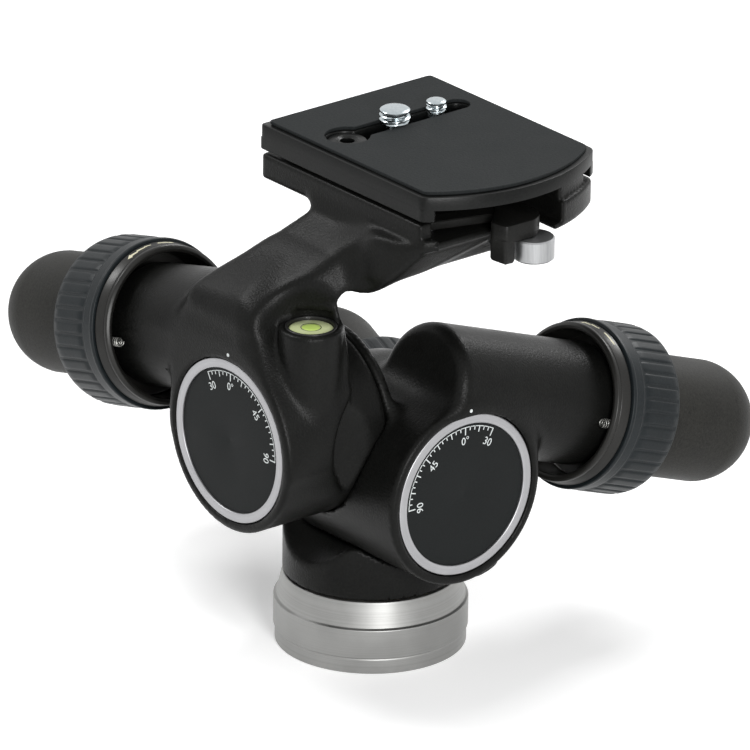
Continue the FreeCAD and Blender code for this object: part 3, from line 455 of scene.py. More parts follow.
def skin(distance, low, high, cell=SKIN_CELL):
    """Points (mm) and quads of the surface where distance is zero, inside a box."""
    axes = [np.arange(a, b + cell, cell) for a, b in zip(low, high)]
    values = np.empty(tuple(len(a) for a in axes), np.float32)
    for i, x in enumerate(axes[0]):
        y, z = np.meshgrid(axes[1], axes[2], indexing="ij")
        values[i] = distance(np.full_like(y, x), y, z)
    crossed, quads = net_faces(values < 0)
    points = np.array(low) + (crossed + 0.5) * cell
    step = 0.05
    for _ in range(6):
        here = distance(*points.T)
        slope = np.stack([(distance(*(points + off).T) - distance(*(points - off).T)) / (2 * step)
                          for off in np.eye(3) * step], 1)
        size = np.maximum((slope ** 2).sum(1), 0.05)
        move = np.clip(here / size, -cell / 2, cell / 2)
        points = points - slope * move[:, None] * 0.8
    return points, quads


def bar(x, y, z, start, end, radius, edge=1.0):
    """Distance to a round bar between two points, with rounded ends."""
    a, b = np.array(start, float), np.array(end, float)
    length = np.linalg.norm(b - a)
    way = (b - a) / length
    along = (x - a[0]) * way[0] + (y - a[1]) * way[1] + (z - a[2]) * way[2]
    away = np.sqrt(np.maximum((x - a[0]) ** 2 + (y - a[1]) ** 2 + (z - a[2]) ** 2 - along ** 2, 0))
    over = np.abs(along - length / 2) - length / 2 + edge
    out = away - radius + edge
    return np.minimum(np.maximum(over, out), 0) + np.hypot(np.maximum(over, 0), np.maximum(out, 0)) - edge


def block(x, y, z, low, high, edge=1.0):
    """Distance to a box with rounded edges."""
    over = [np.abs(p - (a + b) / 2) - (b - a) / 2 + edge for p, a, b in zip((x, y, z), low, high)]
    out = np.sqrt(sum(np.maximum(o, 0) ** 2 for o in over))
    return out + np.minimum(np.maximum(np.maximum(over[0], over[1]), over[2]), 0) - edge


def wedge(x, y, z, planes, edge=2.0):
    """Distance to a convex body bounded by planes (point, outward direction), rounded where they meet."""
    total = 0
    for point, outward in planes:
        n = np.array(outward, float)
        n /= np.linalg.norm(n)
        far = (x - point[0]) * n[0] + (y - point[1]) * n[1] + (z - point[2]) * n[2]
        total = total + np.exp(np.clip(far / edge, -40, 40))
    return edge * np.log(total)


def join(a, b, fillet):
    """Union with a fillet."""
    h = np.clip(0.5 + 0.5 * (b - a) / fillet, 0, 1)
    return b + (a - b) * h - fillet * h * (1 - h)


def carve(a, b, edge=0.3):
    """a without b, with a slightly broken edge."""
    return -join(-a, b, edge)


casting_finish = surface("casting_powder_coat", CASTING_BLACK, CASTING_SPECK, 0.33, grain=1500.0, depth=0.13,
                         specular=0.11)


def tube_bar(x, y, z, drive, start, end, radius, edge=0.5):
    """Round bar on a drive's axis between two stations."""
    foot, along = DRIVES[drive]
    return bar(x, y, z, foot + along * start, foot + along * end, radius, edge)


def tilted(point, angle):
    """A point of the middle casting after the lower axis has tilted by an angle in degrees."""
    c, s = math.cos(math.radians(angle)), math.sin(math.radians(angle))
    y, z = point[1], point[2] - LOWER_AXIS_Z
    return np.array([point[0], c * y - s * z, LOWER_AXIS_Z + s * y + c * z])


def clear_of_tilting(body, x, y, z):
    """Cut away what the upper boss, the lower tube and its collar pass through as the lower axis tilts."""
    foot, along = DRIVES["lower"]
    for angle in (0, 4, 8, 12, 16, 20, 24, 28, 31):
        for way in (-angle, angle):
            boss = [tilted((0, y_at, UPPER_AXIS_Z), way) for y_at in (UPPER_BACK_Y - 42, UPPER_BACK_Y + 4)]
            body = carve(body, bar(x, y, z, *boss, BOSS_R + RUN_GAP, 0.1), 1.0)
        tube = [tilted(foot + along * at, -angle) for at in (TUBE_START - 1, TUBE_END)]
        body = carve(body, bar(x, y, z, *tube, TUBE_R + RUN_GAP, 0.1), 1.5)
        collar = [tilted(foot + along * at, -angle)
                  for at in (COLLAR_FRONT - COLLAR_NOSE - 1, COLLAR_FRONT + COLLAR_LEN + 1)]
        body = carve(body, bar(x, y, z, *collar, COLLAR_R + 1, 0.1), 1.5)
    return body


def pan_casting(x, y, z):
    """Drum over the base, upright with a round eye, and the pan drive's tube."""
    drum = bar(x, y, z, (0, 0, PAN_LOW_Z), (0, 0, PAN_TOP_Z), PAN_R, 0.8)
    upright = block(x, y, z, (ARM_X[0], -8.5, PAN_TOP_Z - 10), (ARM_X[1], EYE_R, LOWER_AXIS_Z), 1.0)
    eye = bar(x, y, z, (ARM_X[0], 0, LOWER_AXIS_Z), (ARM_X[1], 0, LOWER_AXIS_Z), EYE_R, 1.0)
    tube = join(tube_bar(x, y, z, "pan", PAN_NECK[1] - 1, TUBE_END, TUBE_R, 2.0),
                tube_bar(x, y, z, "pan", PAN_NECK[0], PAN_NECK[1], PAN_NECK[2], 1.5), 2.0)
    body = join(join(drum, np.minimum(upright, eye), 3.0), tube, 4.0)
    body = carve(body, bar(x, y, z, (ARM_X[1], 0, LOWER_AXIS_Z), (90, 0, LOWER_AXIS_Z), BOSS_R + RUN_GAP,
                           0.1))
    body = clear_of_tilting(body, x, y, z)
    body = carve(body, bar(x, y, z, (0, 0, -5), (0, 0, PAN_LOW_Z), 30.4, 0.1), 0.2)
    body = carve(body, bar(x, y, z, (0, 0, 10), (0, 0, 32.5), 23.5, 0.1), 0.2)
    shaft_end = bar(x, y, z, (ARM_X[0] - 2, 0, LOWER_AXIS_Z), (ARM_X[0] + 0.7, 0, LOWER_AXIS_Z),
                    SHAFT_R + 0.3, 0.1)
    body = carve(body, shaft_end, 0.3)
    return carve(body, tube_bar(x, y, z, "pan", 24.3, 70, SLEEVE_R), 0.4)


def cast(node, shape, body_name):
    """Skin one casting inside its node's box."""
    low, high = (np.array(corner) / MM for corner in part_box(node))
    points, quads = skin(shape, low - 2.5, high + 2.5, SKIN_CELL)
    print(node, len(points))
    settle(mesh_piece(node + "_skin", points, quads, casting_finish), body_name, "casting_black", node)


cast("pan_casting", pan_casting, "pan")


# --- Middle casting -----------------------------------------------------------------------
# Die casting that carries the lower dial and drive, and holds the upper tilt shaft in a flange
# and a core behind the upper boss. It tilts on the lower shaft, in the upright's eye.

LOWER_BACK_X = -10.0
LOWER_FACE_X = 45.3
DIAL_ROOM_R = 26.1
DIAL_ROOM_DEEP = 4.4
FLANGE_THICK = 3.2
CORE_R = 12.0
CORE_END_Y = 11.0


def middle_casting(x, y, z):
    """Lower boss and tube, and the flange and core of the upper tilt shaft."""
    boss = bar(x, y, z, (LOWER_BACK_X, 0, LOWER_AXIS_Z), (LOWER_FACE_X, 0, LOWER_AXIS_Z), BOSS_R, 1.4)
    room = tube_bar(x, y, z, "lower", COLLAR_FRONT - COLLAR_NOSE - 0.6, 80, COLLAR_R + RUN_GAP, 0.5)
    tube = tube_bar(x, y, z, "lower", TUBE_START, TUBE_END, TUBE_R, 4.0)
    seat = UPPER_BACK_Y + RUN_GAP
    flange = bar(x, y, z, (0, seat, UPPER_AXIS_Z), (0, seat + FLANGE_THICK, UPPER_AXIS_Z), BOSS_R, 0.8)
    core = bar(x, y, z, (0, seat, UPPER_AXIS_Z), (0, CORE_END_Y, UPPER_AXIS_Z), CORE_R, 1.0)
    neck = block(x, y, z, (LOWER_BACK_X, seat + 1, LOWER_AXIS_Z), (18, CORE_END_Y, UPPER_AXIS_Z), 2.0)
    body = join(join(carve(boss, room), tube, 6.0), join(flange, np.minimum(core, neck), 4.0), 5.0)
    upper_boss = bar(x, y, z, (0, -70, UPPER_AXIS_Z), (0, seat, UPPER_AXIS_Z), BOSS_R + RUN_GAP, 0.1)
    upright_side = block(x, y, z, (-90, seat + FLANGE_THICK, 0), (LOWER_BACK_X, 60, 120), 0.2)
    dial_room = bar(x, y, z, (LOWER_FACE_X - DIAL_ROOM_DEEP, 0, LOWER_AXIS_Z),
                    (LOWER_FACE_X + 9, 0, LOWER_AXIS_Z),
                    DIAL_ROOM_R, 0.2)
    body = carve(carve(carve(body, upper_boss), upright_side), dial_room, 0.5)
    beside = np.maximum(BOSS_R + 0.2 - np.hypot(x, z - UPPER_AXIS_Z), x - LOWER_BACK_X)
    body = carve(body, beside, 0.2)
    body = carve(body, bar(x, y, z, (0, CORE_END_Y, UPPER_AXIS_Z), (0, 40, UPPER_AXIS_Z), 5.5, 0.2))
    return carve(body, tube_bar(x, y, z, "lower", 24.3, 70, SLEEVE_R), 0.4)


cast("middle_casting", middle_casting, "middle")


# --- Top casting --------------------------------------------------------------------------
# Die casting with the upper dial's boss and drive tube; an arm leans back from it to the
# platform that takes the quick-release plate. A round boss on the arm holds the spirit level.

UPPER_FACE_Y = -56.6
ARM_REAR_Y = UPPER_BACK_Y - 13.0
LEVEL_AT = (20.0, -40.7)
LEVEL_TOP_Z = UPPER_AXIS_Z + 39.9
DECK_LOW = (-30.7, -19.7, 146.5)
DECK_HIGH = (58.2, 46.7, 154.7)
DECK_BULGE = 12.0
PLATE_UNDER_Z = 159.9
DECK_FRONT_X = 47.2
KEEL_LOW_Z = 134.0
FRONT_SLOPE = (0, -0.583, 0.813)
SWING_R = 45.0                # what passes over the middle casting as the upper axis tilts
SWING_Y = -29.4
LOWER_LIMIT = 30.0
KEEL_SLOPE = ((16.6, -25.4, 138.8), (-0.374, -0.670, 0.642))
BOWL = ((25.5, -48.5, 123), 15.2)         # hollow of the arm behind the level
FLANK = ((10.9, UPPER_FACE_Y, 114.9), (0.79, -0.52, 0.33))


def bowed_slab(x, y, z, low, high, bulge, edge):
    """Slab whose +X end is an arc."""
    half = (high[1] - low[1]) / 2
    radius = (half ** 2 + bulge ** 2) / (2 * bulge)
    flat = block(x, y, z, low, high, edge)
    round_end = np.hypot(x - (high[0] - radius), y - (low[1] + high[1]) / 2) - radius
    return carve(flat, -round_end, edge)


def arm_of_top(x, y, z):
    """Arm with its slanted front, and the root that runs into the keel under the platform."""
    front = ((0, -45, 128.2), FRONT_SLOPE)
    left = ((-18, -45, 0), (-0.891, 0.453, 0))
    shoulder = ((28.9, 0, 0), (1, 0, 0))
    lower = wedge(x, y, z, [front, left, FLANK, shoulder, ((0, UPPER_FACE_Y + 0.6, 0), (0, -1, 0)),
                            ((0, ARM_REAR_Y, 0), (0, 1, 0)), ((0, 0, 78), (0, 0, -1))], 1.6)
    upper = wedge(x, y, z, [front, left, FLANK, ((0, ARM_REAR_Y, 127), (0, 0.42, -0.907)),
                            ((0, 10, 0), (0, 1, 0)),
                            ((0, 0, 149), (0, 0, 1))], 1.2)
    slant = ((34.4, 0, 133.3), (0.74, 0, -0.672))
    root = wedge(x, y, z, [slant, ((24.2, ARM_REAR_Y, 0), (0.447, -0.894, 0)),
                           ((0, ARM_REAR_Y, 126.3), (0, 0.42, -0.907)),
                           ((0, -45, 132), FRONT_SLOPE), ((14, 0, 0), (-1, 0, 0)), ((0, -25, 0), (0, -1, 0)),
                           ((0, 0, 147.5), (0, 0, 1)), ((0, 12, 0), (0, 1, 0)), KEEL_SLOPE], 0.8)
    keel = wedge(x, y, z, [slant, ((0, 0, KEEL_LOW_Z), (0, 0, -1)), ((10, 0, 0), (-1, 0, 0)),
                           ((0, -25.4, 0), (0, -1, 0)),
                           ((0, 0, 148), (0, 0, 1)), ((0, 28, 0), (0, 1, 0)), ((45.7, 0, 0),
                                                                               (1, 0, 0)), KEEL_SLOPE,
                           ((30, -25.4, 0), (0.377, -0.926, 0))], 0.7)
    return join(lower, upper, 2.0), join(root, keel, 2.0)


def platform_rooms(body, x, y, z):
    """Open pocket of the lever, the notch of the catch, the hinge pin's hole and the screws' trough."""
    body = carve(body, block(x, y, z, (30, -15, 148.2), (80, 26.5, 180), 0.8), 0.8)
    body = carve(body, block(x, y, z, (DECK_FRONT_X, -15, 120), (80, 23.3, 180), 0.8), 0.8)
    body = carve(body, block(x, y, z, (45.5, -30, 150), (80, -14, 180), 0.3), 0.8)
    body = carve(body, block(x, y, z, (38, 11.7, 139.6), (60, 19.7, 147.4), 0.5), 0.4)
    body = carve(body, block(x, y, z, (-14, -16, 153.5), (4, 42, 180), 0.5), 0.4)
    return carve(body, bar(x, y, z, (36, -8, 142.5), (36, -8, 160), 1.52, 0.1), 0.1)


def clear_of_casting(body, x, y, z):
    """Cut away what would meet the middle casting, or the drum at both upper tilt limits."""
    radius = np.hypot(x, z - UPPER_AXIS_Z)
    swing = np.maximum(np.maximum(BOSS_R + 0.15 - radius, radius - SWING_R), np.maximum(SWING_Y - y, -14 - x))
    ends = [tilted((0, 0, end), -LOWER_LIMIT) for end in (PAN_LOW_Z, PAN_TOP_Z)]
    drum = [(UPPER_AXIS_Z - end[2], end[1], UPPER_AXIS_Z + end[0]) for end in ends]
    behind = bar(x, y, z, (0, UPPER_BACK_Y + 0.1, UPPER_AXIS_Z), (0, 20, UPPER_AXIS_Z), BOSS_R + 1, 0.1)
    return carve(carve(carve(body, behind, 0.1), swing, 0.4), bar(x, y, z, *drum, PAN_R + 0.5, 0.8), 1.0)


def top_casting(x, y, z):
    """Boss and tube, arm, platform with its keel, and the level's boss."""
    boss = bar(x, y, z, (0, UPPER_FACE_Y, UPPER_AXIS_Z), (0, UPPER_BACK_Y, UPPER_AXIS_Z), BOSS_R, 1.4)
    tube = tube_bar(x, y, z, "upper", TUBE_START, TUBE_END, TUBE_R, 3.0)
    tube = carve(tube, block(x, y, z, (-12, UPPER_BACK_Y - 12, 60), (80, 30, 150), 1.0), 1.0)
    tube = np.maximum(tube, UPPER_FACE_Y - y)
    boss = carve(boss, tube_bar(x, y, z, "upper", COLLAR_FRONT - COLLAR_NOSE - 0.6, 80, COLLAR_R + RUN_GAP,
                                0.5))
    arm, keel = arm_of_top(x, y, z)
    deck = bowed_slab(x, y, z, DECK_LOW, DECK_HIGH, DECK_BULGE, 1.2)
    tongue = bowed_slab(x, y, z, (-29, -14.5, 147), (56.5, 41.5, PLATE_UNDER_Z - 0.02), 8.0, 0.6)
    body = join(join(boss, tube, 6.0), arm, 8.0)
    soft = 1.2 + np.clip((z - 106) / 3, 0, 4)
    body = carve(join(body, join(deck, keel, 2.0), 5.0), y - UPPER_FACE_Y, soft)
    (bowl_x, bowl_y, bowl_z), bowl_r = BOWL
    body = carve(body, np.sqrt((x - bowl_x) ** 2 + (y - bowl_y) ** 2 + (z - bowl_z) ** 2) - bowl_r, 4.0)
    spot = LEVEL_AT
    level_boss = bar(x, y, z, (*spot, UPPER_AXIS_Z + 4), (*spot, LEVEL_TOP_Z), 9.7, 0.8)
    body = np.minimum(join(body, level_boss, 1.6), tongue)
    body = carve(body, bar(x, y, z, (*spot, LEVEL_TOP_Z - 6), (*spot, LEVEL_TOP_Z + 3), 7.92, 0.2), 0.4)
    dial_room = bar(x, y, z, (0, UPPER_FACE_Y - 9, UPPER_AXIS_Z),
                    (0, UPPER_FACE_Y + DIAL_ROOM_DEEP, UPPER_AXIS_Z),
                    DIAL_ROOM_R, 0.2)
    body = carve(carve(body, dial_room, 0.5), tube_bar(x, y, z, "upper", 24.3, 70, SLEEVE_R), 0.4)
    return platform_rooms(clear_of_casting(body, x, y, z), x, y, z)


cast("top_casting", top_casting, "top")


# --- Dials --------------------------------------------------------------------------------
# Each tilt axis ends in a satin aluminium ring, set in its boss, round a charcoal plastic
# face. The scale is printed in white: a tick each 5 degrees from 30 through 0 to 90.

SCALE_WHITE = (0.62, 0.66, 0.66, 1)
DIAL_CHARCOAL = (0.005, 0.006, 0.0062, 1)
DIAL_GREY = (0.010, 0.0115, 0.0115, 1)
RING_GREY = (0.33, 0.33, 0.34, 1)
RING_BRIGHT = (0.43, 0.43, 0.44, 1)
DIAL_R = 25.8
DIAL_INNER_R = 22.8
DIAL_RECESS = 0.4
DIAL_THICK = 3.4
DIAL_WEB = 1.4
FACE_THICK = 1.4
SCALE_R = 21.9
SCALE_LINE = 0.26
TICK_WIDTH = 0.33
TICK_LENGTHS = (1.3, 2.0, 2.6)          # each 5 degrees, each 15, and at the figures
PRINT_THICK = 0.04
FIGURE_R = 17.3
FIGURE_HEIGHT = 2.5
INDEX_R = 28.1
HUB_R = 10.5
HUB_BORE_R = 7.6

dial_finish = surface("dial_face_matt", DIAL_CHARCOAL, DIAL_GREY, 0.55, grain=1600.0, depth=0.012,
                      specular=0.13)
print_white = surface("scale_print", SCALE_WHITE, (0.72, 0.75, 0.74, 1), 0.5, grain=2500.0, depth=0.004)


def round_tree():
    """Copies of one piece about Z: first angle, step, count, and how far each may stray from its angle."""
    tree = bpy.data.node_groups.new("round_copies", "GeometryNodeTree")
    tree.interface.new_socket("Geometry", in_out="OUTPUT", socket_type="NodeSocketGeometry")
    for name, kind in (("Piece", "Object"), ("First", "Float"), ("Step", "Float"), ("Count", "Int"),
                       ("Stray", "Float"), ("Seed", "Int"), ("Finish", "Material")):
        tree.interface.new_socket(name, in_out="INPUT", socket_type="NodeSocket" + kind)
    start, end = tree.nodes.new("NodeGroupInput"), tree.nodes.new("NodeGroupOutput")

    def grow_node(kind, links=(), **settings):
        new = tree.nodes.new(kind)
        for key, value in settings.items():
            setattr(new, key, value)
        for socket, source in links:
            tree.links.new(source, new.inputs[socket])
        return new.outputs

    piece = grow_node("GeometryNodeObjectInfo", [("Object", start.outputs["Piece"])])
    line = grow_node("GeometryNodeMeshLine", [("Count", start.outputs["Count"])])
    index = grow_node("GeometryNodeInputIndex")
    even = grow_node("ShaderNodeMath", [(0, index[0]), (1, start.outputs["Step"]),
                                        (2, start.outputs["First"])],
                     operation="MULTIPLY_ADD")
    chance = grow_node("FunctionNodeRandomValue", [("Seed", start.outputs["Seed"])], data_type="FLOAT")
    stray = grow_node("ShaderNodeMath", [(0, chance[1]), (1, start.outputs["Stray"]), (2, even[0])],
                      operation="MULTIPLY_ADD")
    turn = grow_node("ShaderNodeCombineXYZ", [("Z", stray[0])])
    middle = grow_node("GeometryNodeSetPosition",
                       [("Geometry", line[0]), ("Position", grow_node("FunctionNodeInputVector")[0])])
    copies = grow_node("GeometryNodeInstanceOnPoints",
                       [("Points", middle[0]), ("Instance", piece["Geometry"]), ("Rotation", turn[0])])
    real = grow_node("GeometryNodeRealizeInstances", [("Geometry", copies[0])])
    finish = grow_node("GeometryNodeSetMaterial", [("Geometry", real[0]),
                                                   ("Material", start.outputs["Finish"])])
    tree.links.new(finish[0], end.inputs[0])
    return tree


def round_copies(piece, first, step, count, stray=0.0, seed=1):
    """Plain mesh of copies of a piece about Z, angles in degrees; the piece itself goes."""
    grower = bpy.data.objects.new(piece.name + "_round", bpy.data.meshes.new("seed"))
    bpy.context.scene.collection.objects.link(grower)
    modifier = grower.modifiers.new("grow", "NODES")
    modifier.node_group = round_maker
    values = {"Piece": piece, "First": math.radians(first), "Step": math.radians(step), "Count": count,
              "Stray": math.radians(stray), "Seed": seed, "Finish": piece.data.materials[0]}
    for item in round_maker.interface.items_tree:
        if item.in_out == "INPUT":
            modifier[item.identifier] = values[item.name]
    bpy.context.view_layer.update()
    mesh = bpy.data.meshes.new_from_object(grower.evaluated_get(bpy.context.evaluated_depsgraph_get()))
    grower.modifiers.clear()
    grower.data = mesh
    bpy.data.objects.remove(piece)
    return grower


def figure(text, height, material):
    """Flat printed figure, centred, as a thin mesh in the XY plane."""
    curve = bpy.data.curves.new("figure", "FONT")
    curve.body = text
    curve.size = height * 1.38
    curve.align_x = "CENTER"
    curve.align_y = "CENTER"
    curve.extrude = PRINT_THICK * MM / 2
    curve.size *= MM
    curve.resolution_u = 6
    holder = bpy.data.objects.new("figure", curve)
    bpy.context.scene.collection.objects.link(holder)
    bpy.context.view_layer.update()
    mesh = bpy.data.meshes.new_from_object(holder.evaluated_get(bpy.context.evaluated_depsgraph_get()))
    bpy.data.objects.remove(holder)
    mesh.materials.clear()
    mesh.materials.append(material)
    piece = bpy.data.objects.new("figure", mesh)
    bpy.context.scene.collection.objects.link(piece)
    return piece


def merged(name, pieces):
    """One object from several, with their places kept in its mesh."""
    net = bmesh.new()
    for piece in pieces:
        part = piece.data.copy()
        part.transform(piece.matrix_basis)
        net.from_mesh(part)
    mesh = bpy.data.meshes.new(name)
    net.to_mesh(mesh)
    net.free()
    mesh.materials.append(pieces[0].data.materials[0])
    for piece in pieces:
        bpy.data.objects.remove(piece)
    whole = bpy.data.objects.new(name, mesh)
    bpy.context.scene.collection.objects.link(whole)
    return whole


def flat_mark(name, length, width, material, thick=PRINT_THICK):
    """Thin printed bar in the XY plane whose outer end lies at SCALE_R on X."""
    low, high = (SCALE_R - length, -width / 2, 0), (SCALE_R, width / 2, thick)
    corners = [(x, y, z) for z in (low[2], high[2]) for y in (low[1], high[1]) for x in (low[0], high[0])]
    faces = [(0, 2, 3, 1), (4, 5, 7, 6), (0, 1, 5, 4), (2, 6, 7, 3), (0, 4, 6, 2), (1, 3, 7, 5)]
    return mesh_piece(name, corners, faces, material, False)


round_maker = round_tree()


def printed_scale(name, sense):
    """The scale in its own plane, seen from +Z: zero at +X, and 30 on the +Y side if sense is 1."""
    parts = []
    for length, first, step, count in ((TICK_LENGTHS[0], -90, 5, 25), (TICK_LENGTHS[1], -90, 15, 9),
                                       (TICK_LENGTHS[2], 0, 30, 2), (TICK_LENGTHS[2], -90, 45, 2)):
        tick = flat_mark("tick", length, TICK_WIDTH + len(parts) * 0.01, print_white,
                         PRINT_THICK * (1 + len(parts) / 4))
        parts.append(round_copies(tick, sense * first, sense * step, count))
    parts.append(round_copies(flat_mark("arc", SCALE_LINE, 0.2, print_white), -90 * sense, 0.5 * sense, 241))
    for text, angle in (("30", 30), ("0°", 0), ("45", -45), ("90", -90)):
        mark = figure(text, FIGURE_HEIGHT, print_white)
        turn = Matrix.Rotation(math.radians(sense * angle), 4, "Z")
        spot = Matrix.Translation((FIGURE_R * MM, 0, PRINT_THICK * MM / 2))
        mark.matrix_basis = turn @ spot @ Matrix.Rotation(math.radians(-90), 4, "Z")
        parts.append(mark)
    return merged(name, parts)


def dial(name, body_name, centre, outward, towards_30, rim, turn, shape):
    """Ring, face, printed scale and index dot of one tilt axis; turn lays its axis on Z."""
    ring_finish = turned_finish(name + "_dial_satin", RING_GREY, RING_BRIGHT, 0.42, centre, turn)
    out, side = np.array(outward, float), np.array(towards_30, float)
    base = np.array(centre, float)
    front = rim - DIAL_RECESS
    back = front - DIAL_THICK
    web = back + DIAL_WEB
    box_ends = [abs(np.dot(np.array(corner), out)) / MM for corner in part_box(name + "_dial_ring")]
    hub = min(box_ends)
    ring_line = rounded([(DIAL_R, back), (DIAL_R, front), (DIAL_INNER_R, front), (DIAL_INNER_R, web),
                         (0.5, web),
                         (0.5, back), (HUB_BORE_R, back), (HUB_BORE_R, hub), (HUB_R, hub), (HUB_R,
                                                                                            back)], 0.45)
    ring = mesh_piece(name + "_dial_ring_turned", *turned(ring_line, base, out, side), ring_finish)
    settle(mend(ring, 50), body_name, "satin_aluminium", name + "_dial_ring")
    face_front = web + FACE_THICK
    face_line = rounded([(DIAL_INNER_R - 0.05, web), (DIAL_INNER_R - 0.05, face_front), (0, face_front),
                         (0, web)],
                        0.25)
    face = mesh_piece(name + "_dial_plate", *turned(face_line, base, out, side), dial_finish)
    settle(mend(face, 50), body_name, "dial_charcoal", name + "_dial_face")
    up = np.array([0, 0, 1.0])
    across = np.cross(out, up)
    scale = printed_scale(name + "_scale", round(float(np.dot(across, side))))
    plane = Matrix((Vector(up), Vector(across), Vector(out))).transposed().to_4x4()
    scale.data.transform(Matrix.Translation(Vector(base + out * (face_front + 0.01)) * MM) @ plane)
    settle(scale, body_name, "dial_charcoal")
    reach = np.arange(rim - 1, rim + 4, 0.05)
    seat = reach[np.argmax(shape(*(base + up * INDEX_R + np.outer(reach, out)).T) > 0)]
    dot_line = rounded([(0, seat - 0.4), (0.62, seat - 0.4), (0.54, seat + 0.08), (0, seat + 0.08)], 0.1)
    return mesh_piece(name + "_index_dot", *turned(dot_line, base + up * INDEX_R, out, side, 24), print_white)


lower_dot = dial("lower", "pan", (0, 0, LOWER_AXIS_Z), (1, 0, 0), (0, 1, 0), LOWER_FACE_X, (0, -90, 0),
                 middle_casting)
upper_dot = dial("upper", "middle", (0, 0, UPPER_AXIS_Z), (0, -1, 0), (-1, 0, 0), -UPPER_FACE_Y, (90, 0, 0),
                 top_casting)
settle(mend(lower_dot), "middle", "casting_black")
settle(mend(upper_dot), "top", "casting_black")


# --- Release collars and knobs ------------------------------------------------------------
# Three alike. A black anodised collar turns the eccentric sleeve that frees the worm; a rubber
# grip with moulded lands covers its rear. The knob, soft rubber on a hard core, drives the worm.

COLLAR_BORE_R = 22.4
COLLAR_CORE_R = 24.5
COLLAR_NOSE_R = 24.7
COLLAR_END = COLLAR_FRONT + COLLAR_LEN
COLLAR_WEB = 3.0
BAND = (47.8, 24.4, 50.8, 25.5)         # cone in front of the grip: station, radius, station, radius
SLEEVE_END = 60.0
GRIP_FRONT = 51.05
GRIP_BASE_R = 26.05
LANDS = 40
LAND_LEN = 14.2
LAND_WIDTH = 3.5
LAND_HEIGHT = 0.45
KNOB_R = 19.0
KNOB_TIP = 119.3
KNOB_DOME = 17.5
KNOB_HUB_R = 9.0
KNOB_HUB_END = 84.0
SPRING_WIRE_R = 0.28
MARKS = {"pan": (246, 269, 275, 289), "upper": (246, 269, 275, 289), "lower": (258, 277, 283, 297)}
SPRING_AT = {"pan": 0, "lower": 1, "upper": 179}

collar_metal = surface("collar_anodised", (0.010, 0.010, 0.009, 1), (0.018, 0.0175, 0.016, 1), 0.33,
                       metal=0.2,
                       grain=1800.0, depth=0.006, specular=0.35)
collar_rubber = surface("collar_rubber", (0.0035, 0.0055, 0.0066, 1), (0.011, 0.015, 0.017, 1), 0.42,
                        grain=1400.0,
                        depth=0.04, specular=0.2, soft=0.02)
knob_rubber = surface("knob_rubber", (0.004, 0.004, 0.0034, 1), (0.026, 0.0255, 0.022, 1), 0.60, grain=1500.0,
                      depth=0.06, patch=80.0, specular=0.18, soft=0.03)
hub_plastic = surface("hub_plastic", (0.012, 0.012, 0.012, 1), (0.022, 0.022, 0.022, 1), 0.4, grain=1500.0,
                      depth=0.01)
mark_print = surface("mark_print", (0.60, 0.57, 0.40, 1), (0.72, 0.69, 0.50, 1), 0.5, grain=2500.0,
                     depth=0.004)
spring_wire = surface("spring_wire", (0.20, 0.20, 0.19, 1), (0.32, 0.32, 0.30, 1), 0.30, metal=1.0,
                      grain=1500.0,
                      depth=0.004)


def put_on_drive(piece, drive, foot=None):
    """Move a piece made about Z so that Z lies on a drive's axis, with -Y up."""
    start, along = DRIVES[drive]
    side = np.cross(along, (0, 0, 1.0))
    side /= np.linalg.norm(side)
    turn = Matrix((Vector(side), Vector(np.cross(along, side)), Vector(along))).transposed().to_4x4()
    piece.data.transform(Matrix.Translation(Vector(start if foot is None else foot) * MM) @ turn)
    return piece


def collar_shell(name):
    """Rounded nose ring, groove, cone, core under the grip, and the web on the sleeve."""
    nose = COLLAR_FRONT - COLLAR_NOSE
    web = SLEEVE_END - COLLAR_WEB
    outline = [(COLLAR_BORE_R, nose + 0.3), (COLLAR_BORE_R + 1.1, nose - 0.1), (COLLAR_NOSE_R, nose + 0.5),
               (COLLAR_NOSE_R, nose + 1.7), (BAND[1] - 0.3, BAND[0] - 0.2), (BAND[1], BAND[0]), (BAND[3],
                                                                                                 BAND[2]),
               (COLLAR_CORE_R, BAND[2]), (COLLAR_CORE_R, COLLAR_END - 0.2), (COLLAR_BORE_R, COLLAR_END - 0.2),
               (COLLAR_BORE_R, SLEEVE_END), (SLEEVE_R - 0.18, SLEEVE_END), (SLEEVE_R - 0.18, web),
               (COLLAR_BORE_R, web)]
    return mend(mesh_piece(name, *turned(rounded(outline, 0.6, 3)), collar_metal), 50)


def grip_land():
    """One raised land of the grip: a low pillow with a long flat top."""
    u, v = np.meshgrid(np.linspace(-1, 1, 13), np.linspace(-1, 1, 11), indexing="ij")
    rise = LAND_HEIGHT * (1 - np.abs(u) ** 10) * (1 - np.abs(v) ** 8)
    radius, angle = GRIP_BASE_R - 0.05 + rise, v * LAND_WIDTH / 2 / GRIP_BASE_R
    station = COLLAR_END - 0.5 - LAND_LEN / 2 * (1 - u)
    points = np.stack([radius * np.cos(angle), radius * np.sin(angle), station], -1).reshape(-1, 3)
    corner = (np.arange(12)[:, None] * 11 + np.arange(10)).reshape(-1, 1)
    return mesh_piece("grip_land", points, corner + np.array([0, 1, 12, 11])[::-1], collar_rubber)


